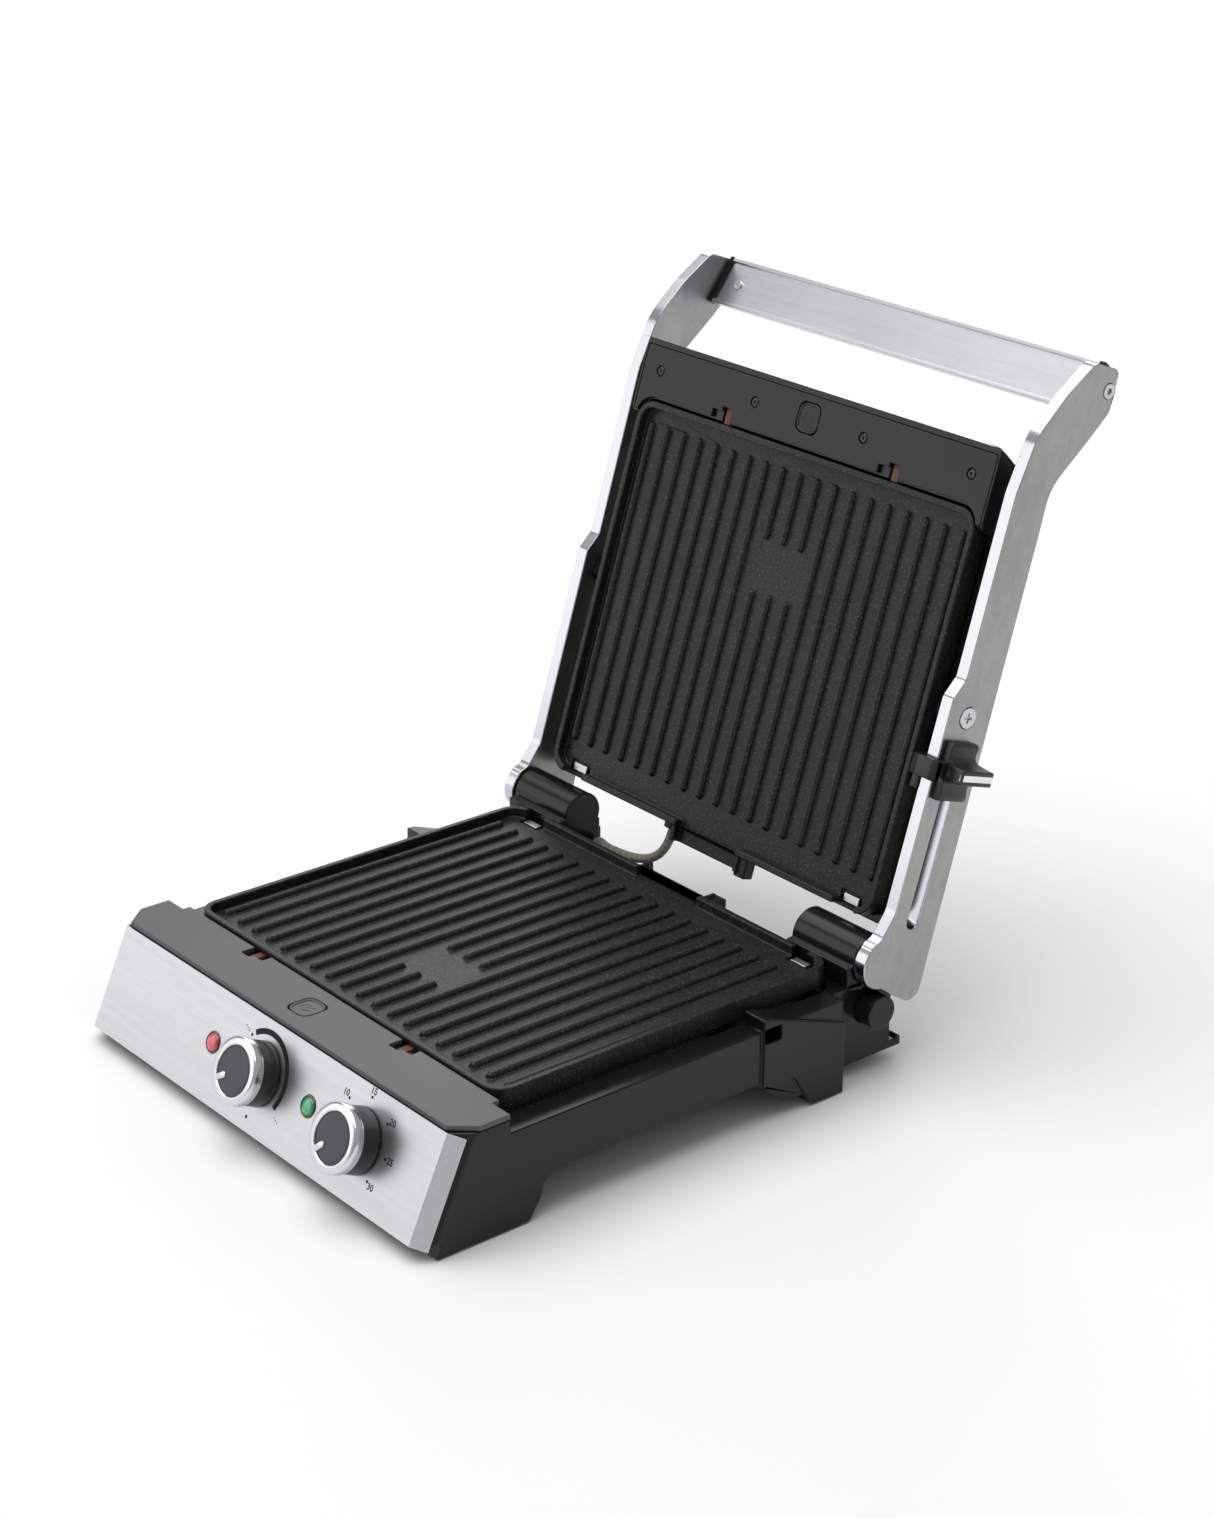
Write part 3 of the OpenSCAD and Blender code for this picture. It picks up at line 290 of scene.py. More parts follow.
@dataclass(frozen=True)
class Moulded(Finish):
    """Moulded plastic: fine grain, faint flow marks and a few soft smudges.

    Attributes:
        grain: Depth of the grain in metres.
        grain_scale: Grains per metre.
        coat: Weight of a clear gloss.
        specular: Specular level.
    """

    grain: float = 0.00002
    grain_scale: float = 1500
    coat: float = 0.0
    specular: float = 0.5

    def paint(self, graph: Graph) -> None:
        """Sets the shader."""
        at = graph.mapped((1, 1, 1))
        smudge = graph.noise(at, 18, 3)
        flow = graph.noise(graph.mapped((1, 0.3, 1)), 9, 2)
        light = tuple(min(1.0, c * 1.25 + 0.002) for c in self.colour)
        graph.set(
            Base_Color=graph.mix((flow * 0.6 + smudge * 0.4).step(0.3, 0.75), self.colour, light),
            Roughness=self.rough + (smudge - 0.5) * (0.35 * self.rough),
            Coat_Weight=self.coat, Coat_Roughness=0.08, Specular_IOR_Level=self.specular)
        graph.bump(graph.noise(at, self.grain_scale, 2), self.grain, 0.5)


@dataclass(frozen=True)
class Brushed(Finish):
    """Metal brushed along one axis.

    Attributes:
        along: Index of the axis that the lines follow.
        depth: Depth of the lines in metres.
        streak: How far the lines change the colour.
        turn: Turn of the pattern about each axis in radians.
        metallic: Share of metal in the shader.
    """

    along: int = 0
    depth: float = 0.000012
    streak: float = 0.12
    turn: Colour = (0, 0, 0)
    metallic: float = 1.0

    def paint(self, graph: Graph) -> None:
        """Sets the shader."""
        scale = tuple(0.02 if i == self.along else 1.0 for i in range(3))
        at = graph.mapped(scale, self.turn)
        lines = graph.noise(at, 3200, 4, 0.7)
        bands = graph.noise(at, 260, 3)
        cloud = graph.noise(graph.mapped((1, 1, 1)), 14, 2)
        tone = lines * 0.55 + bands * 0.3 + cloud * 0.15
        dark = tuple(c * (1 - self.streak) for c in self.colour)
        light = tuple(min(1.0, c * (1 + self.streak)) for c in self.colour)
        graph.set(
            Base_Color=graph.mix(tone.step(0.3, 0.7), dark, light), Metallic=self.metallic,
            Roughness=self.rough + (lines - 0.5) * 0.16 + (cloud - 0.5) * 0.06)
        graph.bump(lines * 0.7 + bands * 0.3, self.depth, 0.6)


@dataclass(frozen=True)
class ArmMetal(Finish):
    """Die-cast arm: satin faces towards the sides, and polished edges all round.

    Attributes:
        edge: Colour of the polished edges.
    """

    edge: Colour = (0.56, 0.56, 0.6)

    def paint(self, graph: Graph) -> None:
        """Sets the shader."""
        side = abs(graph.normal(0)).step(0.75, 0.97)
        lines = graph.noise(graph.mapped((1, 0.05, 0.02), (0.31, 0, 0)), 2600, 4, 0.7)
        cloud = graph.noise(graph.mapped((1, 1, 1)), 22, 3)
        satin = graph.mix((lines * 0.6 + cloud * 0.4).step(0.3, 0.7), tuple(c * 0.86 for c in self.colour),
                          tuple(c * 1.1 for c in self.colour))
        graph.set(Base_Color=graph.mix(side, self.edge, satin), Metallic=1.0,
                  Roughness=0.16 + side * (self.rough - 0.16) + (lines - 0.5) * 0.1)
        graph.bump(lines * side, 0.00001, 0.6)


@dataclass(frozen=True)
class NonStick(Finish):
    """Baked non-stick coating with a light fleck and an orange-peel surface.

    Attributes:
        fleck: Colour of the flecks.
    """

    fleck: Colour = (0.11, 0.11, 0.115)

    def paint(self, graph: Graph) -> None:
        """Sets the shader."""
        at = graph.mapped((1, 1, 1))
        cells = graph.node("ShaderNodeTexVoronoi", {"feature": "F1"}, {"Vector": at, "Scale": 850.0})
        spread = graph.noise(at, 500, 2)
        fleck = (1 - Value(graph, cells.outputs["Distance"]).step(0.18, 0.4)) * spread.step(0.45, 0.6)
        peel = graph.noise(at, 750, 3)
        cloud = graph.noise(at, 25, 2)
        base = graph.mix(cloud.step(0.3, 0.7), self.colour, tuple(c * 1.35 for c in self.colour))
        graph.set(Base_Color=graph.mix(fleck * 0.8, base, self.fleck),
                  Roughness=self.rough + (peel - 0.5) * 0.25, Specular_IOR_Level=0.33)
        graph.bump(peel * 0.8 + fleck * 0.3, 0.0001, 0.6)


@dataclass(frozen=True)
class Turned(Finish):
    """Metal turned on a lathe, with fine rings round an axis.

    Attributes:
        centre: A point on the axis.
        turn: Turn that lays the axis along Z.
        metallic: Share of metal in the shader.
    """

    centre: Colour = (0, 0, 0)
    turn: Colour = (0, 0, 0)
    metallic: float = 1.0

    def paint(self, graph: Graph) -> None:
        """Sets the shader."""
        at = graph.mapped((1, 1, 1), self.turn, self.centre)
        x, y = graph.axis(at, 0), graph.axis(at, 1)
        reach = (x * x + y * y) ** 0.5
        joined = graph.node("ShaderNodeCombineXYZ", {}, {0: reach})
        rings = graph.noise(joined.outputs[0], 5200, 3, 0.7)
        cloud = graph.noise(graph.mapped((1, 1, 1)), 60, 2)
        graph.set(
            Base_Color=graph.mix(rings.step(0.25, 0.75), tuple(c * 0.88 for c in self.colour),
                                 tuple(min(1.0, c * 1.1) for c in self.colour)),
            Metallic=self.metallic, Roughness=self.rough + (rings - 0.5) * 0.14 + (cloud - 0.5) * 0.05)
        graph.bump(rings, 0.000008, 0.6)


@dataclass(frozen=True)
class PaintedGlowLens(Finish):
    """Coloured lens with a painted glow: brighter in the middle, darker towards the rim, and a faint
    emission, under a clear gloss.

    Attributes:
        rim: Colour near the rim.
        centre: Middle of the lens.
        radius: Radius of the lens.
    """

    rim: Colour = (0, 0, 0)
    centre: Colour = (0, 0, 0)
    radius: float = 0.006

    def paint(self, graph: Graph) -> None:
        """Sets the shader."""
        at = graph.mapped((1, 1, 1), centre=self.centre)
        x, y, z = (graph.axis(at, i) for i in range(3))
        reach = (x * x + y * y + z * z) ** 0.5 * (1 / self.radius)
        facets = graph.noise(at, 900, 1)
        # painted glow: the colour brightens towards the middle and darkens towards the rim
        colour = graph.mix((reach + (facets - 0.5) * 0.1).step(0.5, 1.0), self.colour, self.rim)
        # the same colour also feeds a faint emission, a painted glow
        graph.set(Base_Color=colour, Roughness=self.rough + (facets - 0.5) * 0.05, Coat_Weight=1.0,
                  Coat_Roughness=0.03, Emission_Color=colour, Emission_Strength=0.08, Specular_IOR_Level=0.7)
        graph.bump(facets, 0.00003, 0.4)


@dataclass(frozen=True)
class Sleeved(Finish):
    """Woven sleeve round a bundle of wires, drawn from the sweep's own coordinates.

    Attributes:
        dark: Colour between the strands.
    """

    dark: Colour = (0.1, 0.095, 0.085)

    def paint(self, graph: Graph) -> None:
        """Sets the shader."""
        uv = graph.node("ShaderNodeUVMap", {"uv_map": "sweep"}).outputs[0]
        u, v = graph.axis(uv, 0), graph.axis(uv, 1)
        one = ((u * 8 + v * 60) * (2 * math.pi)).math("SINE")
        two = ((u * 8 - v * 60) * (2 * math.pi)).math("SINE")
        weave = (one.math("MAXIMUM", two) * 0.5 + 0.5).clamp()
        cloud = graph.noise(graph.mapped((1, 1, 1)), 120, 3)
        graph.set(Base_Color=graph.mix((weave * 0.8 + cloud * 0.3).step(0.2, 0.95), self.dark, self.colour),
                  Roughness=self.rough + (cloud - 0.5) * 0.15)
        graph.bump(weave, 0.00025, 0.6)




def joint_axis(name: str) -> Vector:
    """Axis of a joint in the row frame."""
    return Vector(next(j["axis"] for j in frame["joints"] if j["name"] == name))


PANEL_IN = joint_axis("thermostat_turn")
PANEL_TILT = math.atan2(PANEL_IN.z, PANEL_IN.y)
GLOSS_BLACK = Moulded("gloss_black_plastic", "black_plastic", (0.006, 0.006, 0.007), 0.22,
                       0.000008, 700, 0, 0.32)
SATIN_DECK = Moulded("satin_deck", "control_deck", (0.058, 0.058, 0.062), 0.42, 0.00003, 2200, 0, 0.5)
TRIM_BLACK = Moulded("nose_trim", "trim_black", (0.009, 0.009, 0.0105), 0.36, 0.00002, 1800, 0, 0.35)
KNOB_BLACK = Moulded("knob_body", "knob_black", (0.012, 0.012, 0.013), 0.34, 0.00002, 1600)
SLIDER_BLACK = Moulded("slider_grip", "black_plastic", (0.011, 0.011, 0.013), 0.38, 0.00002, 1800)
RUBBER = Moulded("foot_rubber", "rubber", (0.03, 0.03, 0.03), 0.75, 0.00005, 1200)
LATCH_BROWN = Moulded("latch_brown", "latch_brown", (0.15, 0.052, 0.03), 0.4, 0.00002, 1200)
SWITCH_BODY = Moulded("switch_phenolic", "switch_body", (0.42, 0.38, 0.28), 0.5, 0.00003, 900)
PRINT_BLACK = Moulded("printed_marks", "black_plastic", (0.012, 0.012, 0.013), 0.6, 0.00001, 900, 0, 0.2)
LAMP = Moulded("lamp_glass", "lamp", (0.7, 0.4, 0.2), 0.2, 0.00001, 300, 0.5)
PANEL_STEEL = Brushed("panel_brushed_steel", "brushed_panel", (0.6, 0.592, 0.612), 0.36, 0, 0.00001, 0.1,
                      (-PANEL_TILT, 0, 0))
LID_STEEL = Brushed("lid_brushed_steel", "lid_steel", (0.6, 0.6, 0.62), 0.34, 0)
HANDLE_METAL = Brushed("handle_brushed", "handle_metal", (0.66, 0.66, 0.69), 0.3, 0, 0.000008, 0.08)
ARM_METAL = ArmMetal("arm_satin", "arm_metal", (0.36, 0.355, 0.36), 0.38)
NON_STICK = NonStick("non_stick_coating", "nonstick", (0.0085, 0.0085, 0.0095), 0.44)
PLAIN_STEEL = Brushed("plain_steel", "steel", (0.6, 0.6, 0.61), 0.32, 1, 0.000008, 0.06)
ZINC = Brushed("zinc_plate", "zinc", (0.66, 0.69, 0.7), 0.3, 1, 0.000006, 0.06)
DARK_SCREW = Brushed("blackened_screw", "dark_screw", (0.06, 0.06, 0.065), 0.34, 1, 0.000006, 0.1)
HEATER_METAL = Brushed("heater_sheath", "heater_metal", (0.36, 0.33, 0.3), 0.45, 0)
REFLECTOR = Brushed("reflector_sheet", "reflector_metal", (0.7, 0.7, 0.7), 0.25, 0)
BRIGHT_TRIM = Brushed("bright_trim", "chrome_trim", (0.8, 0.8, 0.82), 0.16, 1, 0.000003, 0.03)
SLEEVE = Sleeved("wiring_sleeve", "conduit", (0.42, 0.39, 0.34), 0.55)


# ---- Shapes ---------------------------------------------------------------------------------


@dataclass(frozen=True)
class Place:
    """A right-handed frame for building a piece: across, along and outwards."""

    across: Vector
    along: Vector
    out: Vector

    @staticmethod
    def facing(out: Vector, across: Vector) -> "Place":
        """The frame that faces out, with its first axis across."""
        out, across = out.normalized(), across.normalized()
        return Place(across, out.cross(across), out)

    def axes(self) -> Matrix:
        """The turn from this frame to the row frame."""
        return Matrix((self.across, self.along, self.out)).transposed()

    def span(self, node: str) -> tuple[Vector, Vector]:
        """Lowest and highest corners of a CAD node in this frame."""
        turn = self.axes().transposed()
        points = [turn @ v.co for v in frame["nodes"][node].data.vertices]
        return (Vector([min(p[i] for p in points) for i in range(3)]),
                Vector([max(p[i] for p in points) for i in range(3)]))

    def seat(self, node: str, low: bool = False) -> Matrix:
        """Matrix to the middle of a node's outer face, or of its inner face."""
        lowest, highest = self.span(node)
        middle = (lowest + highest) / 2
        middle.z = lowest.z if low else highest.z
        return self.at(middle)

    def at(self, point: Vector) -> Matrix:
        """Matrix to a point given in this frame."""
        return Matrix.Translation(self.axes() @ point) @ self.axes().to_4x4()


X = Vector((1, 0, 0))
DECK = Place.facing(Vector((0, 0, 1)), X)
PANEL = Place.facing(-PANEL_IN, X)
UPPER = Place.facing(-joint_axis("upper_button_press"), X)
RIGHT_ARM = Place.facing(X, joint_axis("upper_button_press"))


class Shape:
    """A mesh being made with bmesh operators."""

    def __init__(self) -> None:
        """Starts an empty mesh."""
        self.bm = bmesh.new()

    def turned(self, profile: list[tuple[float, float]], steps: int = 64) -> "Shape":
        """Spins a profile round Z.

        Args:
            profile: Points as radius and height, in metres, from the axis outwards.
            steps: Steps of the full turn.

        Returns:
            This shape.
        """
        verts = [self.bm.verts.new((r, 0, z)) for r, z in profile]
        edges = [self.bm.edges.new(pair) for pair in zip(verts, verts[1:])]
        bmesh.ops.spin(self.bm, geom=verts + edges, cent=(0, 0, 0), axis=(0, 0, 1), angle=math.tau,
                       steps=steps, use_merge=True, use_duplicate=False)
        return self.merged()

    def merged(self) -> "Shape":
        """Merges doubles and points the faces outwards."""
        bmesh.ops.remove_doubles(self.bm, verts=self.bm.verts, dist=2e-6)
        bmesh.ops.dissolve_degenerate(self.bm, edges=self.bm.edges, dist=1e-6)
        bmesh.ops.recalc_face_normals(self.bm, faces=self.bm.faces)
        return self

    def loop(self, points: list[tuple[float, float]], z: float = 0.0) -> list[bmesh.types.BMVert]:
        """Adds a flat face from its outline and returns its corners."""
        verts = [self.bm.verts.new((x, y, z)) for x, y in points]
        self.bm.faces.new(verts)
        return verts

    def raised(self, height: float,
               faces: list[bmesh.types.BMFace] | None = None) -> list[bmesh.types.BMFace]:
        """Extrudes faces along Z and returns the new caps."""
        faces = faces or list(self.bm.faces)
        made = bmesh.ops.extrude_face_region(self.bm, geom=faces)["geom"]
        caps = [g for g in made if isinstance(g, bmesh.types.BMFace)]
        moved = [g for g in made if isinstance(g, bmesh.types.BMVert)]
        bmesh.ops.translate(self.bm, vec=(0, 0, height), verts=moved)
        return caps

    def swept(self, corners: list[Colour], sweep: Colour) -> "Shape":
        """Draws a flat face and extrudes it along a vector.

        Args:
            corners: Corners of the face.
            sweep: The vector.

        Returns:
            This shape.
        """
        self.bm.faces.new([self.bm.verts.new(corner) for corner in corners])
        made = bmesh.ops.extrude_face_region(self.bm, geom=list(self.bm.faces))["geom"]
        bmesh.ops.translate(self.bm, vec=sweep, verts=[g for g in made if isinstance(g, bmesh.types.BMVert)])
        return self.merged()

    def stepped(self, outline: list[tuple[float, float]], levels: list[tuple[float, float]]) -> "Shape":
        """Extrudes an outline level by level, scaled at each, and closed at both ends.

        Args:
            outline: The outline at size 1.
            levels: Size and height of each level, from the lowest.

        Returns:
            This shape.
        """
        size, height = levels[0]
        self.loop([(x * size, y * size) for x, y in outline], height)
        caps = list(self.bm.faces)
        for index, (new_size, new_height) in enumerate(levels[1:]):
            left = caps
            caps = self.raised(new_height - height, caps)
            if index > 0:
                bmesh.ops.delete(self.bm, geom=left, context="FACES_ONLY")
            corners = [v for cap in caps for v in cap.verts]
            bmesh.ops.scale(self.bm, vec=(new_size / size, new_size / size, 1), verts=corners)
            size, height = new_size, new_height
        return self.merged()

    def eased(self, width: float, segments: int = 3, sharp: float = 35) -> "Shape":
        """Rounds the edges that are sharper than an angle."""
        edges = [e for e in self.bm.edges if len(e.link_faces) == 2 and
                 e.calc_face_angle(0) > math.radians(sharp)]
        bmesh.ops.bevel(self.bm, geom=edges, offset=width, segments=segments, profile=0.5, material=-1,
                        affect="EDGES", offset_type="OFFSET", clamp_overlap=True)
        return self

    def placed(self, matrix: Matrix) -> "Shape":
        """Moves the mesh by a matrix."""
        bmesh.ops.transform(self.bm, matrix=matrix, verts=self.bm.verts)
        return self

    def joined(self, other: "Shape") -> "Shape":
        """Adds another shape's mesh."""
        mesh = bpy.data.meshes.new("part")
        other.bm.to_mesh(mesh)
        self.bm.from_mesh(mesh)
        bpy.data.meshes.remove(mesh)
        return self

    def piece(self, name: str, body: str | None, finish: Finish, replaces: tuple[str, ...] = (),
              smooth: float = 35) -> bpy.types.Object:
        """Ends the mesh as a piece of the object.

        Args:
            name: The piece's name.
            body: CAD body that it rides on, or None for one left unattached.
            finish: Its finish.
            replaces: CAD nodes that it stands for.
            smooth: Angle in degrees up to which faces are shaded as one.

        Returns:
            The object.
        """
        mesh = bpy.data.meshes.new(name)
        self.bm.to_mesh(mesh)
        self.bm.free()
        mesh.shade_smooth()
        mesh.set_sharp_from_angle(angle=math.radians(smooth))
        mesh.materials.append(finish.material())
        piece = bpy.data.objects.new(name, mesh)
        bpy.context.scene.collection.objects.link(piece)
        if body is not None:
            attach(piece, body)
        if replaces:
            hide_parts(*replaces)
        LOG.info("%s on %s", name, body)
        return piece


def body_of(node: str) -> str:
    """Name of the body that a CAD node rides on."""
    return frame["nodes"][node]["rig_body"]


def arc(radius: float, start: float, stop: float, steps: int, centre: tuple[float, float] = (0, 0)
        ) -> list[tuple[float, float]]:
    """Points along an arc, with angles in degrees."""
    return [(centre[0] + radius * math.cos(math.radians(start + (stop - start) * i / steps)),
             centre[1] + radius * math.sin(math.radians(start + (stop - start) * i / steps)))
            for i in range(steps + 1)]


@dataclass
class Softened:
    """A CAD node shown through a copy with its hard edges eased.

    Attributes:
        node: The CAD node.
        finish: Its finish.
        width: Width of the eased edges.
        angle: Edges sharper than this many degrees are eased.
        segments: Segments of the easing.
    """

    node: str
    finish: Finish
    width: float = 0.5 * MM
    angle: float = 32
    segments: int = 2

    def build(self) -> bpy.types.Object:
        """Copies, merges and eases the node's mesh."""
        shape = Shape()
        shape.bm.from_mesh(frame["nodes"][self.node].data)
        bmesh.ops.remove_doubles(shape.bm, verts=shape.bm.verts, dist=2e-6)
        bmesh.ops.dissolve_limit(shape.bm, angle_limit=math.radians(0.6), use_dissolve_boundaries=False,
                                 verts=shape.bm.verts, edges=shape.bm.edges, delimit=set())
        piece = shape.piece(f"{self.node}_shell", body_of(self.node), self.finish, (self.node,), self.angle)
        bevel = piece.modifiers.new("eased", "BEVEL")
        bevel.width, bevel.segments, bevel.limit_method = self.width, self.segments, "ANGLE"
        bevel.angle_limit = math.radians(self.angle)
        bevel.use_clamp_overlap = False
        bevel.miter_outer = "MITER_ARC"
        level = piece.modifiers.new("level", "WEIGHTED_NORMAL")
        level.mode, level.weight, level.keep_sharp = "FACE_AREA", 100, True
        return piece


@dataclass
class Dressed:
    """CAD nodes that keep their shape and take a finish.

    Attributes:
        nodes: Finish of each node.
    """

    nodes: dict[str, Finish]

    def build(self) -> None:
        """Puts each finish on its node."""
        for node, finish in self.nodes.items():
            mesh = frame["nodes"][node].data
            mesh.materials.clear()
            mesh.materials.append(finish.material())
            LOG.info("%s dressed", node)


# ---- Sub-assemblies -------------------------------------------------------------------------


@dataclass
class ControlKnob:
    """Knob with a satin body, a turned chrome ring and a satin face.

    Attributes:
        name: Name of the control, which begins its nodes' names.
        pointer: Direction of the pointer in degrees.
        ring_height: Height of the chrome ring.
        ring_width: Width of its face.
        face_drop: How far the face lies below the ring.
        tab_width: Width of the pointer.
        tab_length: How far the pointer reaches inwards.
    """

    name: str
    pointer: float
    ring_height: float = 6.5 * MM
    ring_width: float = 4.9 * MM
    face_drop: float = 0.5 * MM
    tab_width: float = 3.6 * MM
    tab_length: float = 7.5 * MM

    def build(self) -> None:
        """Builds the body, ring, pointer and face."""
        body, node, ring = self.name, self.name, f"{self.name}_ring"
        low, high = PANEL.span(ring)
        radius = (high.x - low.x) / 2
        centre = PANEL.at(Vector(((low.x + high.x) / 2, (low.y + high.y) / 2, high.z)))
        foot = PANEL.span(node)[0].z - high.z
        inner = radius - self.ring_width
        chrome = Turned(f"{self.name}_chrome", "chrome_ring", (0.68, 0.68, 0.705), 0.2,
                        tuple(centre.translation), (-math.acos(PANEL.out.z), 0, 0))
        skirt = radius - 0.7 * MM
        h = self.ring_height
        Shape().turned([(0, foot + 1 * MM), (skirt - 3 * MM, foot + 0.6 * MM), (skirt - 0.6 * MM, foot),
                        (skirt, foot + 0.6 * MM), (skirt - 0.2 * MM, -h - 0.5 * MM),
                        (skirt - 0.5 * MM, -h - 0.1 * MM),
                        (skirt - 1.4 * MM, -h), (0, -h)]).placed(centre).piece(
            f"{self.name}_skirt", body, KNOB_BLACK, (node,))
        hoop = Shape().turned([(inner, -h + 0.1 * MM), (inner, -0.5 * MM), (inner + 0.5 * MM, -0.05 * MM),
                               (inner + 1.2 * MM, 0), (radius - 1.3 * MM, -0.25 * MM),
                               (radius - 0.45 * MM, -0.6 * MM),
                               (radius, -1.3 * MM), (radius, -h + 0.4 * MM), (radius - 0.4 * MM, -h),
                               (inner + 0.1 * MM, -h), (inner, -h + 0.1 * MM)], 96)
        tab = Shape()
        half = self.tab_width / 2
        reach = inner - self.tab_length + half
        outline = arc(half, 90, 270, 10, (reach, 0)) + [(inner + 0.8 * MM, -half), (inner + 0.8 * MM, half)]
        tab.loop(outline, -1.2 * MM)
        tab.raised(1.3 * MM)
        tab.merged().eased(0.3 * MM, 3)
        tab.placed(Matrix.Rotation(math.radians(self.pointer), 4, "Z"))
        hoop.joined(tab).placed(centre).piece(f"{self.name}_hoop", body, chrome, (ring,))
        face = Turned(f"{self.name}_disc", "knob_black", (0.06, 0.06, 0.065), 0.42, tuple(centre.translation),
                      (-math.acos(PANEL.out.z), 0, 0), 0.35)
        Shape().turned([(0, -self.face_drop + 0.1 * MM), (inner * 0.8, -self.face_drop),
                        (inner - 0.6 * MM, -self.face_drop - 0.1 * MM),
                        (inner - 0.05 * MM, -self.face_drop - 0.5 * MM),
                        (inner - 0.05 * MM, -h + 0.3 * MM), (0, -h + 0.3 * MM)]).placed(centre).piece(
            f"{self.name}_face", body, face)


@dataclass
class PilotLight:
    """Domed lens in a thin dark collar, both with a faint painted glow.

    Attributes:
        node: The lens's CAD node.
        glow: Colour in the middle.
        rim: Colour at the rim.
        slot: The record's material slot.
    """

    node: str
    glow: Colour
    rim: Colour
    slot: str

    def build(self) -> None:
        """Builds the lens and its collar."""
        low, high = PANEL.span(self.node)
        seat = PANEL.seat(self.node)
        radius = (high.x - low.x) / 2
        dome = high.z - low.z
        # the lens finish paints a glow: brighter middle, darker rim and a faint emission
        painted_glow_lens = PaintedGlowLens(f"{self.node}_jewel", self.slot, self.glow, 0.22, self.rim,
                      tuple(seat.translation), radius)
        top = 0.86 * radius
        profile = [(0, 0), (top * 0.35, -0.06 * MM), (top * 0.6, -0.22 * MM), (top * 0.8, -0.5 * MM),
                   (top * 0.94, -0.9 * MM), (top, -1.4 * MM), (top, -dome), (0, -dome)]
        Shape().turned(profile, 48).placed(seat).piece(f"{self.node}_dome", "base", painted_glow_lens, (self.node,))
        rim = [(top - 0.1 * MM, -1.6 * MM), (top, -1.0 * MM), (top + 0.25 * MM, -0.85 * MM),
               (radius - 0.1 * MM, -1.0 * MM),
               (radius, -1.3 * MM), (radius, -2.2 * MM), (top - 0.1 * MM, -2.2 * MM),
               (top - 0.1 * MM, -1.6 * MM)]
        # the collar takes the same finish, so it too has a faint painted glow
        collar = PaintedGlowLens(f"{self.node}_collar_tint", self.slot, tuple(c * 0.12 for c in self.rim), 0.3,
                       tuple(c * 0.12 for c in self.rim),
                       tuple(seat.translation), radius)
        Shape().turned(rim, 48).placed(seat).piece(f"{self.node}_collar", "base", collar)


class Align(Enum):
    """How a printed word sits about its place."""

    CENTRE = "CENTER"
    LEFT = "LEFT"
    RIGHT = "RIGHT"


@dataclass
class DialMarks:
    """Printed dots, numbers and the heat band on the front panel.

    Attributes:
        proud: How far the ink stands above the steel.
        dot: Radius of a dot beside a number.
        height: Height of the figures.
        minutes: Place in millimetres and alignment of each number on the timer's dial.
    """

    proud: float = 0.03 * MM
    dot: float = 0.9 * MM
    height: float = 5.2 * MM
    minutes: dict[str, tuple[float, float, Align]] = field(default_factory=lambda: {
        "10": (-17.6, 17.2, Align.RIGHT), "15": (-0.6, 24.4, Align.CENTRE), "20": (17.2, 16.6, Align.LEFT),
        "25": (24.2, -0.4, Align.LEFT), "30": (16.4, -16.4, Align.LEFT)})

    def ink(self, shape: Shape, middle: Matrix, name: str) -> None:
        """Lays a flat shape on the panel as print."""
        shape.placed(middle).piece(name, "base", PRINT_BLACK)

    def spot(self, x: float, y: float, r: float) -> Shape:
        """A thin printed dot."""
        shape = Shape()
        shape.loop([(x + dx, y + dy) for dx, dy in arc(r, 0, 345, 23)])
        shape.raised(self.proud)
        return shape.merged()

    def word(self, text: str, x: float, y: float, align: Align, size: float) -> Shape:
        """Figures as a thin printed mesh."""
        curve = bpy.data.curves.new("figures", "FONT")
        curve.body, curve.size, curve.align_x, curve.align_y = text, size, align.value, "CENTER"
        curve.extrude, curve.offset = self.proud / 2, 0.12 * MM
        holder = bpy.data.objects.new("figures", curve)
        bpy.context.scene.collection.objects.link(holder)
        bpy.context.view_layer.update()
        mesh = bpy.data.meshes.new_from_object(holder.evaluated_get(bpy.context.evaluated_depsgraph_get()))
        bpy.data.objects.remove(holder)
        bpy.data.curves.remove(curve)
        shape = Shape()
        shape.bm.from_mesh(mesh)
        bpy.data.meshes.remove(mesh)
        bmesh.ops.remove_doubles(shape.bm, verts=shape.bm.verts, dist=1e-6)
        return shape.placed(Matrix.Translation((x, y, self.proud / 2)))

    def band(self, inner: float, outer: float, start: float, stop: float) -> Shape:
        """A thin printed arc."""
        shape = Shape()
        shape.loop(arc(outer, start, stop, 40) + arc(inner, stop, start, 40))
        shape.raised(self.proud)
        return shape.merged()

    def build(self) -> None:
        """Prints both dials."""
        top = PANEL.span("front_panel")[1].z
        for knob in ("thermostat_knob", "timer_knob"):
            low, high = PANEL.span(f"{knob}_ring")
            middle = PANEL.at(Vector(((low.x + high.x) / 2, (low.y + high.y) / 2, top)))
            marks = self.spot(0.4 * MM, -25.2 * MM, 1.0 * MM) if knob == "thermostat_knob" else Shape()
            if knob == "thermostat_knob":
                marks.joined(self.band(21.8 * MM, 25.2 * MM, 127, -32))
                marks.joined(self.spot(-16.7 * MM, 16.6 * MM, self.dot))
                for i in range(3):
                    marks.joined(self.spot((-20.2 - 1.7 * i) * MM, (17.8 + 0.9 * i) * MM, 0.45 * MM))
                for i in range(3):
                    marks.joined(self.spot((23.4 + 1.7 * i) * MM, (-16.6 - 0.9 * i) * MM, 0.45 * MM))
            else:
                for text, (x, y, align) in self.minutes.items():
                    reach = math.hypot(x, y)
                    marks.joined(self.spot(x * MM, y * MM, self.dot))
                    shift = 3.4 if align is Align.CENTRE else 2.6
                    marks.joined(self.word(text, (x + (x / reach) * shift * 0.6) * MM,
                                           (y + (y / reach) * shift) * MM, align, self.height))
            self.ink(marks, middle, f"{knob}_marks")


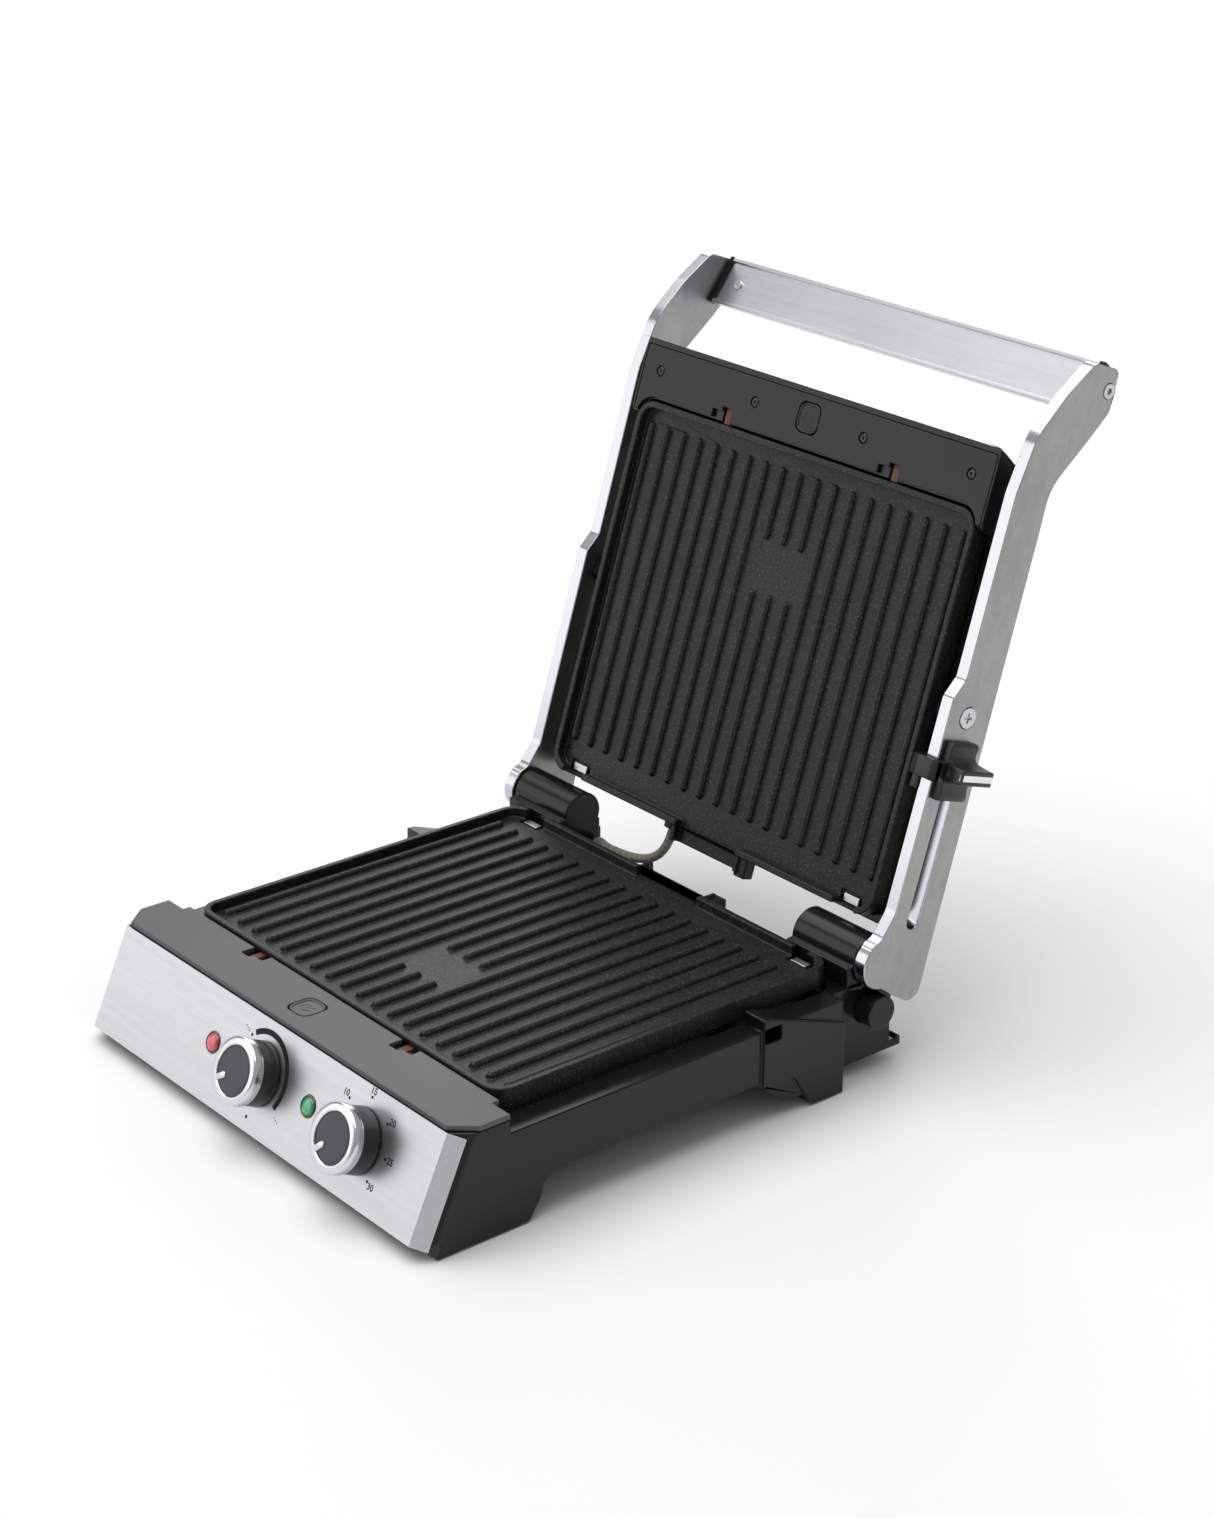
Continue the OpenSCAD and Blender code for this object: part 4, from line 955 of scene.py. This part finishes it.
@dataclass
class ReleaseButton:
    """Squarish button with bulged sides and a line drawing of a lifted plate.

    Attributes:
        node: The button's CAD node.
        place: Frame of its face.
        finish: Its finish.
        bulge: Power of the outline: 2 is round, and more is squarer.
        lip: Width of the rim round the dish.
        dish: Depth of the dish.
        skirt: Height of the cap's straight side.
        stem: Half width of the stem.
        stroke: Half width of the drawing's lines.
        drawing: The drawing's lines as points, in millimetres.
    """

    node: str
    place: Place
    finish: Finish
    bulge: float = 3.2
    lip: float = 1.1 * MM
    dish: float = 0.55 * MM
    skirt: float = 2.2 * MM
    stem: float = 6.8 * MM
    stroke: float = 0.22 * MM
    drawing: tuple[tuple[tuple[float, float], ...], ...] = (
        ((-4.6, -2.6), (-3.4, 2.2), (-0.4, 3.4)), ((-2.6, -2.4), (0.6, -3.6), (4.4, -0.8)),
        ((-1.2, -0.6), (3.2, 3.0)))

    def outline(self, corners: int = 64) -> list[tuple[float, float]]:
        """Outline of the button at half width 1."""
        points = []
        for i in range(corners):
            c, s = math.cos(math.tau * i / corners), math.sin(math.tau * i / corners)
            reach = 1 / (abs(c) ** self.bulge + abs(s) ** self.bulge) ** (1 / self.bulge)
            points.append((reach * c, reach * s))
        return points

    def line(self, start: Vector, end: Vector) -> Shape:
        """A raised line of the drawing."""
        shape = Shape()
        run = end - start
        shape.loop(arc(self.stroke, 90, 270, 6) + arc(self.stroke, -90, 90, 6, (run.length, 0)), -0.7 * MM)
        shape.raised(0.34 * MM)
        turn = Matrix.Rotation(math.atan2(run.y, run.x), 4, "Z")
        return shape.merged().placed(Matrix.Translation((start.x, start.y, 0)) @ turn)

    def build(self) -> None:
        """Builds the cap, its stem and its drawing."""
        low, high = self.place.span(self.node)
        half = (high.x - low.x) / 2 - 0.1 * MM
        depth = high.z - low.z
        shape = Shape().stepped(self.outline(), [
            (half, -self.skirt), (half, -0.35 * MM), (half - 0.35 * MM, 0.0), (half - self.lip, 0.0),
            (half - self.lip - 0.45 * MM, -self.dish), (half * 0.4, -0.5 * MM), (half * 0.06, -0.48 * MM)])
        stem = Shape()
        stem.loop([(x * self.stem, y * self.stem) for x, y in ((-1, -1), (1, -1), (1, 1), (-1, 1))], -depth)
        stem.raised(depth - self.skirt - 0.1 * MM)
        shape.joined(stem.merged().eased(1.4 * MM, 3))
        for points in self.drawing:
            for start, end in zip(points, points[1:]):
                shape.joined(self.line(Vector(start) * MM, Vector(end) * MM))
        shape.placed(self.place.seat(self.node)).piece(
            f"{self.node}_cap", body_of(self.node), self.finish, (self.node,), 30)


@dataclass
class RecessedScrews:
    """Recessed screws that sit in dark counterbores, one on each solid of a node.

    Attributes:
        node: The screws' CAD node.
        place: Frame of their heads.
        finish: Their finish.
        apart: Points further apart than this belong to different screws.
        slot: Radius of the recess at its bottom.
        deep: Depth of the recess.
    """

    node: str
    place: Place
    finish: Finish
    apart: float = 12 * MM
    slot: float = 0.75 * MM
    deep: float = 0.9 * MM

    def middles(self) -> list[Vector]:
        """Middle of each head, in the place's frame."""
        turn = self.place.axes().transposed()
        points = sorted((turn @ v.co for v in frame["nodes"][self.node].data.vertices), key=lambda p: p.x)
        groups = [[points[0]]]
        for point in points[1:]:
            if point.x - groups[-1][-1].x > self.apart:
                groups.append([])
            groups[-1].append(point)
        return [Vector(((g[0].x + g[-1].x) / 2, (min(p.y for p in g) + max(p.y for p in g)) / 2,
                        max(p.z for p in g))) for g in groups]

    def build(self) -> None:
        """Builds every screw as one piece."""
        low, high = self.place.span(self.node)
        radius = (high.y - low.y) / 2
        depth = high.z - low.z
        whole = Shape()
        for middle in self.middles():
            head = Shape().turned([
                (0, -self.deep), (self.slot, -self.deep), (self.slot * 1.5, -0.1 * MM), (radius * 0.72, 0),
                (radius * 0.8, -0.15 * MM), (radius * 0.84, -0.9 * MM), (radius * 0.94, -0.9 * MM),
                (radius * 0.97, 0), (radius, -0.1 * MM), (radius, -1.4 * MM), (radius * 0.45, -1.9 * MM),
                (radius * 0.45, -depth), (0, -depth)], 40)
            whole.joined(head.placed(self.place.at(middle)))
        whole.piece(f"{self.node}_heads", body_of(self.node), self.finish, (self.node,), 30)


@dataclass
class LockSlider:
    """Thumb slider: dished block, swept fin with a bright stripe, and the strap round the arm.

    Attributes:
        low: Lower side of the block.
        high: Upper side of the block.
        fin_low: Lower end of the fin.
        fin_high: Upper end of the fin.
        foot: Gap between the block and the arm.
        sweep_from: Height at which the fin starts to lengthen.
        sweep_over: Height over which it lengthens.
        strap: Lower and upper side of the strap.
        strap_thick: Thickness of the strap under the arm.
        stripe_half: Half width of the stripe.
    """

    low: float = -13.5 * MM
    high: float = 8.5 * MM
    fin_low: float = -15.5 * MM
    fin_high: float = 10.5 * MM
    foot: float = 0.3 * MM
    sweep_from: float = 8 * MM
    sweep_over: float = 3 * MM
    strap: tuple[float, float] = (-7 * MM, 5 * MM)
    strap_thick: float = 4.8 * MM
    stripe_half: float = 1.9 * MM

    def build(self) -> None:
        """Builds the grip, its strap and its stripe."""
        low, high = RIGHT_ARM.span("lock_slider")
        trim_low, trim_high = RIGHT_ARM.span("lock_slider_trim")
        face = RIGHT_ARM.span("arm_right")[1].z
        across = (trim_low.x + trim_high.x) / 2 + 2.5 * MM
        seat = RIGHT_ARM.at(Vector((across, (trim_low.y + trim_high.y) / 2, face)))
        top = high.z - face
        grip = self.grip(top)
        grip.joined(self.band(low.x - across, low.z - face))
        grip.placed(seat).piece("lock_slider_grip", "lock_slider", SLIDER_BLACK, ("lock_slider",), 40)
        self.stripe(seat, top)

    def grip(self, top: float) -> Shape:
        """The block with its two finger dishes and the fin between them.

        Args:
            top: Height of the fin above the arm.

        Returns:
            The shape.
        """
        peak, foot = top / MM, self.foot / MM
        side = [(-18.0, 3.4), (-17.6, 5.2), (-16.4, 6.3), (-14.5, 6.6), (-11.0, 5.9), (-8.2, 6.0),
                (-6.6, 7.2),
                (-5.3, 9.6), (-4.6, 13.0), (-4.3, peak - 0.8), (-3.6, peak - 0.1), (3.6, peak - 0.1),
                (4.3, peak - 0.8), (4.6, 13.0), (5.3, 9.6), (6.6, 7.2), (8.2, 6.0), (11.0, 5.9), (13.5, 6.6),
                (15.0, 6.3), (16.0, 5.2), (16.3, 3.4), (16.3, foot), (-18.0, foot)]
        shape = Shape().swept([(self.low, y * MM, z * MM) for y, z in side], (self.high - self.low, 0, 0))
        bm = shape.bm
        bmesh.ops.bisect_plane(bm, geom=[*bm.verts, *bm.edges, *bm.faces], plane_co=(0, 0, self.sweep_from),
                               plane_no=(0, 0, 1))
        for vert in bm.verts:
            rise = vert.co.z - self.sweep_from
            if rise > 0.01 * MM:
                reach = self.fin_high - self.high if vert.co.x > 0 else self.fin_low - self.low
                vert.co.x += min(1.0, rise / self.sweep_over) * reach
        return shape.eased(0.9 * MM, 3, 50)

    def band(self, front: float, under: float) -> Shape:
        """The strap round the arm's front edge, with its hook below.

        Args:
            front: Front of the strap.
            under: Lower face of the strap.

        Returns:
            The shape.
        """
        start, stop = self.strap
        thick = under + self.strap_thick
        shape = Shape()
        for x0, x1, y0, y1, z0, z1 in (
                (front, front + 4 * MM, start, stop, under, 6 * MM),
                (front, front + 13 * MM, start, stop, under, thick),
                (front + 3.5 * MM, front + 9.5 * MM, start - 8 * MM, stop - 8 * MM, under, thick),
                (front, front + 15 * MM, start, stop, self.foot, 6 * MM)):
            bar = Shape()
            bar.loop([(x0, y0), (x1, y0), (x1, y1), (x0, y1)], z0)
            bar.raised(z1 - z0)
            shape.joined(bar.merged().eased(0.6 * MM, 3))
        return shape

    def stripe(self, seat: Matrix, top: float) -> None:
        """Builds the bright stripe round the fin's end and front.

        Args:
            seat: Where the slider sits.
            top: Height of the fin above the arm.
        """
        half, proud, base = self.stripe_half, 0.12 * MM, 8.6 * MM
        end = self.fin_high - 0.6 * MM
        outer = [(self.fin_low - proud, base), (self.fin_low - proud, top - 1.5 * MM),
                 (self.fin_low + 1.2 * MM, top), (end, top)]
        inner = [(end, top - 0.9 * MM), (self.fin_low + 1.6 * MM, top - 0.9 * MM),
                 (self.fin_low + 0.9 * MM, top - 1.8 * MM), (self.fin_low + 0.9 * MM, base)]
        shape = Shape().swept([(x, -half, z) for x, z in outer + inner], (0, 2 * half, 0))
        shape.eased(0.25 * MM, 2, 50).placed(seat).piece(
            "lock_slider_stripe", "lock_slider", BRIGHT_TRIM, ("lock_slider_trim",), 40)


@dataclass
class Conduit:
    """Woven wiring sleeve that bends from the base to the open lid.

    Attributes:
        sides: Sides of the CAD sleeve's section.
    """

    sides: int = 12

    def build(self) -> None:
        """Sweeps a circle along the CAD sleeve's own centre line."""
        source = frame["nodes"]["wiring_conduit"].data
        unique: dict[tuple[float, ...], Vector] = {}
        for v in source.vertices:
            unique.setdefault(tuple(round(c, 6) for c in v.co), v.co.copy())
        points = list(unique.values())
        line = self.centre_line(points)
        radius = min((p - line[0]).length for p in points)
        curve = bpy.data.curves.new("sleeve_line", "CURVE")
        curve.dimensions = "3D"
        spline = curve.splines.new("NURBS")
        spline.points.add(len(line) - 1)
        for point, place in zip(spline.points, line):
            point.co = (*place, 1.0)
        spline.use_endpoint_u, spline.order_u = True, 4
        curve.resolution_u, curve.bevel_depth, curve.bevel_resolution = 6, radius * 0.99, 6
        curve.use_fill_caps = True
        holder = bpy.data.objects.new("sleeve_line", curve)
        bpy.context.scene.collection.objects.link(holder)
        bpy.context.view_layer.update()
        mesh = bpy.data.meshes.new_from_object(holder.evaluated_get(bpy.context.evaluated_depsgraph_get()))
        bpy.data.objects.remove(holder)
        bpy.data.curves.remove(curve)
        shape = Shape()
        shape.bm.from_mesh(mesh)
        bpy.data.meshes.remove(mesh)
        piece = shape.piece("wiring_sleeve", None, SLEEVE, ("wiring_conduit",))
        if piece.data.uv_layers:
            piece.data.uv_layers[0].name = "sweep"
        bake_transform(piece)

    def centre_line(self, points: list[Vector]) -> list[Vector]:
        """Middle of each ring of the CAD sleeve, from the base to the lid.

        Args:
            points: The sleeve's vertices.

        Returns:
            One point for each ring.
        """
        start = min(points, key=lambda p: p.z + p.x)
        left = list(points)
        ring = sorted(left, key=lambda p: (p - start).length)[: self.sides]
        line = []
        while True:
            middle = sum(ring, Vector()) / len(ring)
            line.append(middle)
            left = [p for p in left if p not in ring]
            if len(left) < self.sides:
                return line
            ring = sorted(left, key=lambda p: (p - middle).length)[: self.sides]


@dataclass
class Studio:
    """Pale floor, soft lights and the camera.

    Attributes:
        target: The point that the camera faces.
        distance: Its distance from there.
        azimuth: Its turn from the front in degrees.
        elevation: Its height in degrees.
        roll: Its roll in degrees.
        lens: Its focal length in millimetres.
    """

    target: Vector = field(default_factory=lambda: Vector((0.2102, -0.1611, 0.2818)))
    distance: float = 1.4929
    azimuth: float = 50.55
    elevation: float = 23.0
    roll: float = 0.15
    lens: float = 73.62

    def floor(self) -> None:
        """Builds the pale floor."""
        shape = Shape()
        bmesh.ops.create_grid(shape.bm, x_segments=1, y_segments=1, size=40)
        shape.placed(Matrix.Translation((0, 0, CAD_BOX[0][2] - 0.0002)))
        mesh = bpy.data.meshes.new("floor")
        shape.bm.to_mesh(mesh)
        shape.bm.free()
        graph = Graph("floor_paper")
        cloud = graph.noise(graph.mapped((1, 1, 1)), 3, 2)
        graph.set(Base_Color=graph.mix(cloud, (0.86, 0.86, 0.865), (0.88, 0.88, 0.885)), Roughness=0.9)
        mesh.materials.append(graph.material)
        floor = bpy.data.objects.new("floor", mesh)
        bpy.context.scene.collection.objects.link(floor)

    def light(self, name: str, place: Colour, size: float, power: float, aim: Colour = (0, 0, 0.15)) -> None:
        """Adds one soft square light.

        Args:
            name: The light's name.
            place: Where it hangs.
            size: Side in metres.
            power: Power in watts.
            aim: The point it faces.
        """
        data = bpy.data.lights.new(name, "AREA")
        data.energy, data.size = power, size
        lamp = bpy.data.objects.new(name, data)
        lamp.location = place
        lamp.rotation_euler = (Vector(aim) - Vector(place)).to_track_quat("-Z", "Y").to_euler()
        bpy.context.scene.collection.objects.link(lamp)

    def overhead(self) -> None:
        """Adds the wide, even light from above."""
        data = bpy.data.lights.new("overhead", "SUN")
        data.energy, data.angle = 2.1, math.radians(70)
        lamp = bpy.data.objects.new("overhead", data)
        lamp.rotation_euler = (math.radians(8), math.radians(-12), 0)
        bpy.context.scene.collection.objects.link(lamp)

    def camera(self) -> None:
        """Sets the camera at the studio's viewing angle."""
        data = bpy.data.cameras.new("camera")
        data.lens, data.sensor_width, data.sensor_fit = self.lens, 36, "AUTO"
        data.clip_start, data.clip_end = 0.05, 60
        eye = bpy.data.objects.new("camera", data)
        a, e = math.radians(self.azimuth), math.radians(self.elevation)
        back = Vector((math.sin(a) * math.cos(e), -math.cos(a) * math.cos(e), math.sin(e)))
        eye.location = self.target + back * self.distance
        turn = back.to_track_quat("Z", "Y").to_matrix() @ Matrix.Rotation(math.radians(self.roll), 3, "Z")
        eye.rotation_euler = turn.to_euler()
        bpy.context.scene.collection.objects.link(eye)
        bpy.context.scene.camera = eye

    def build(self) -> None:
        """Builds the whole studio."""
        world = bpy.data.worlds.new("studio")
        bpy.context.scene.world = world
        world.use_nodes = True
        sky = world.node_tree.nodes["Background"]
        sky.inputs["Color"].default_value = (1.0, 1.0, 1.0, 1.0)
        sky.inputs["Strength"].default_value = 0.42
        self.floor()
        self.overhead()
        self.light("panel_card", (-2.6, -2.9, 1.3), 2.4, 22)
        self.light("deck_card", (-3.4, 2.9, 2.1), 2.2, 34)
        self.camera()
        bpy.context.scene.view_settings.view_transform = "Standard"


@dataclass
class Shells:
    """Casings, plates and arms, shown with eased edges.

    Attributes:
        pieces: The softened nodes.
    """

    pieces: tuple[Softened, ...] = (
        Softened("base_housing", GLOSS_BLACK, 0.8 * MM), Softened("bottom_cover", GLOSS_BLACK, 0.4 * MM),
        Softened("front_panel", PANEL_STEEL, 0.3 * MM), Softened("control_cover", SATIN_DECK, 0.45 * MM),
        Softened("hinge_cover_left", GLOSS_BLACK, 0.7 * MM),
        Softened("hinge_cover_right", GLOSS_BLACK, 0.7 * MM),
        Softened("lower_plate", NON_STICK, 0.7 * MM), Softened("upper_plate", NON_STICK, 0.7 * MM),
        Softened("arm_left", ARM_METAL, 0.5 * MM), Softened("arm_right", ARM_METAL, 0.5 * MM),
        Softened("handle_bar", HANDLE_METAL, 0.35 * MM), Softened("handle_end_caps", GLOSS_BLACK, 0.3 * MM),
        Softened("upper_housing", GLOSS_BLACK, 0.3 * MM), Softened("upper_cover", LID_STEEL, 0.3 * MM),
        Softened("upper_trim", TRIM_BLACK, 0.4 * MM), Softened("cord_gland", GLOSS_BLACK, 0.4 * MM),
        Softened("stop_button", GLOSS_BLACK, 0.6 * MM), Softened("rubber_feet", RUBBER, 0.5 * MM),
        Softened("lower_latch_bar", LATCH_BROWN, 0.3 * MM),
        Softened("upper_latch_bar", LATCH_BROWN, 0.3 * MM),
        Softened("lower_plate_clips", PLAIN_STEEL, 0.25 * MM),
        Softened("upper_plate_clips", PLAIN_STEEL, 0.25 * MM),
        Softened("handle_screws", ZINC, 0.15 * MM),
        Softened("pivot_screws", PLAIN_STEEL, 0.3 * MM), Softened("handle_bolts", PLAIN_STEEL, 0.25 * MM),
    )

    def build(self) -> None:
        """Builds each shell."""
        for piece in self.pieces:
            piece.build()


@dataclass
class Inside:
    """Pieces that mostly lie inside the casings.

    Attributes:
        dressed: The nodes with their finishes.
    """

    dressed: Dressed = field(default_factory=lambda: Dressed({
        "bottom_screws": DARK_SCREW, "indicator_lamps": LAMP, "thermostat": SWITCH_BODY, "timer": SWITCH_BODY,
        "terminal_block": SWITCH_BODY, "lower_heater": HEATER_METAL, "upper_heater": HEATER_METAL,
        "lower_reflector": REFLECTOR, "upper_reflector": REFLECTOR, "lower_button_spring": PLAIN_STEEL,
        "upper_button_spring": PLAIN_STEEL, "lower_latch_spring": PLAIN_STEEL,
        "upper_latch_spring": PLAIN_STEEL,
        "hinge_pin_left": PLAIN_STEEL, "hinge_pin_right": PLAIN_STEEL, "stop_button_spring": PLAIN_STEEL,
        "thermostat_shaft": PLAIN_STEEL, "timer_shaft": PLAIN_STEEL, "slider_guide_pin": PLAIN_STEEL}))

    def build(self) -> None:
        """Dresses the inner pieces."""
        self.dressed.build()


def main() -> None:
    """Builds the press and its studio."""
    logging.basicConfig(level=logging.INFO, format="%(message)s")
    for assembly in (
            Shells(), Inside(), ControlKnob("thermostat_knob", 215), ControlKnob("timer_knob", 225),
            PilotLight("power_lens", (0.6, 0.035, 0.03), (0.2, 0.008, 0.008), "red_lens"),
            PilotLight("ready_lens", (0.012, 0.3, 0.11), (0.003, 0.08, 0.03), "green_lens"),
            DialMarks(), ReleaseButton("lower_release_button", DECK, SATIN_DECK),
            ReleaseButton("upper_release_button", UPPER, TRIM_BLACK),
            RecessedScrews("trim_screws", UPPER, DARK_SCREW), LockSlider(), Conduit(), Studio()):
        assembly.build()
        LOG.info("built %s", type(assembly).__name__)


if __name__ == "__main__":
    main()
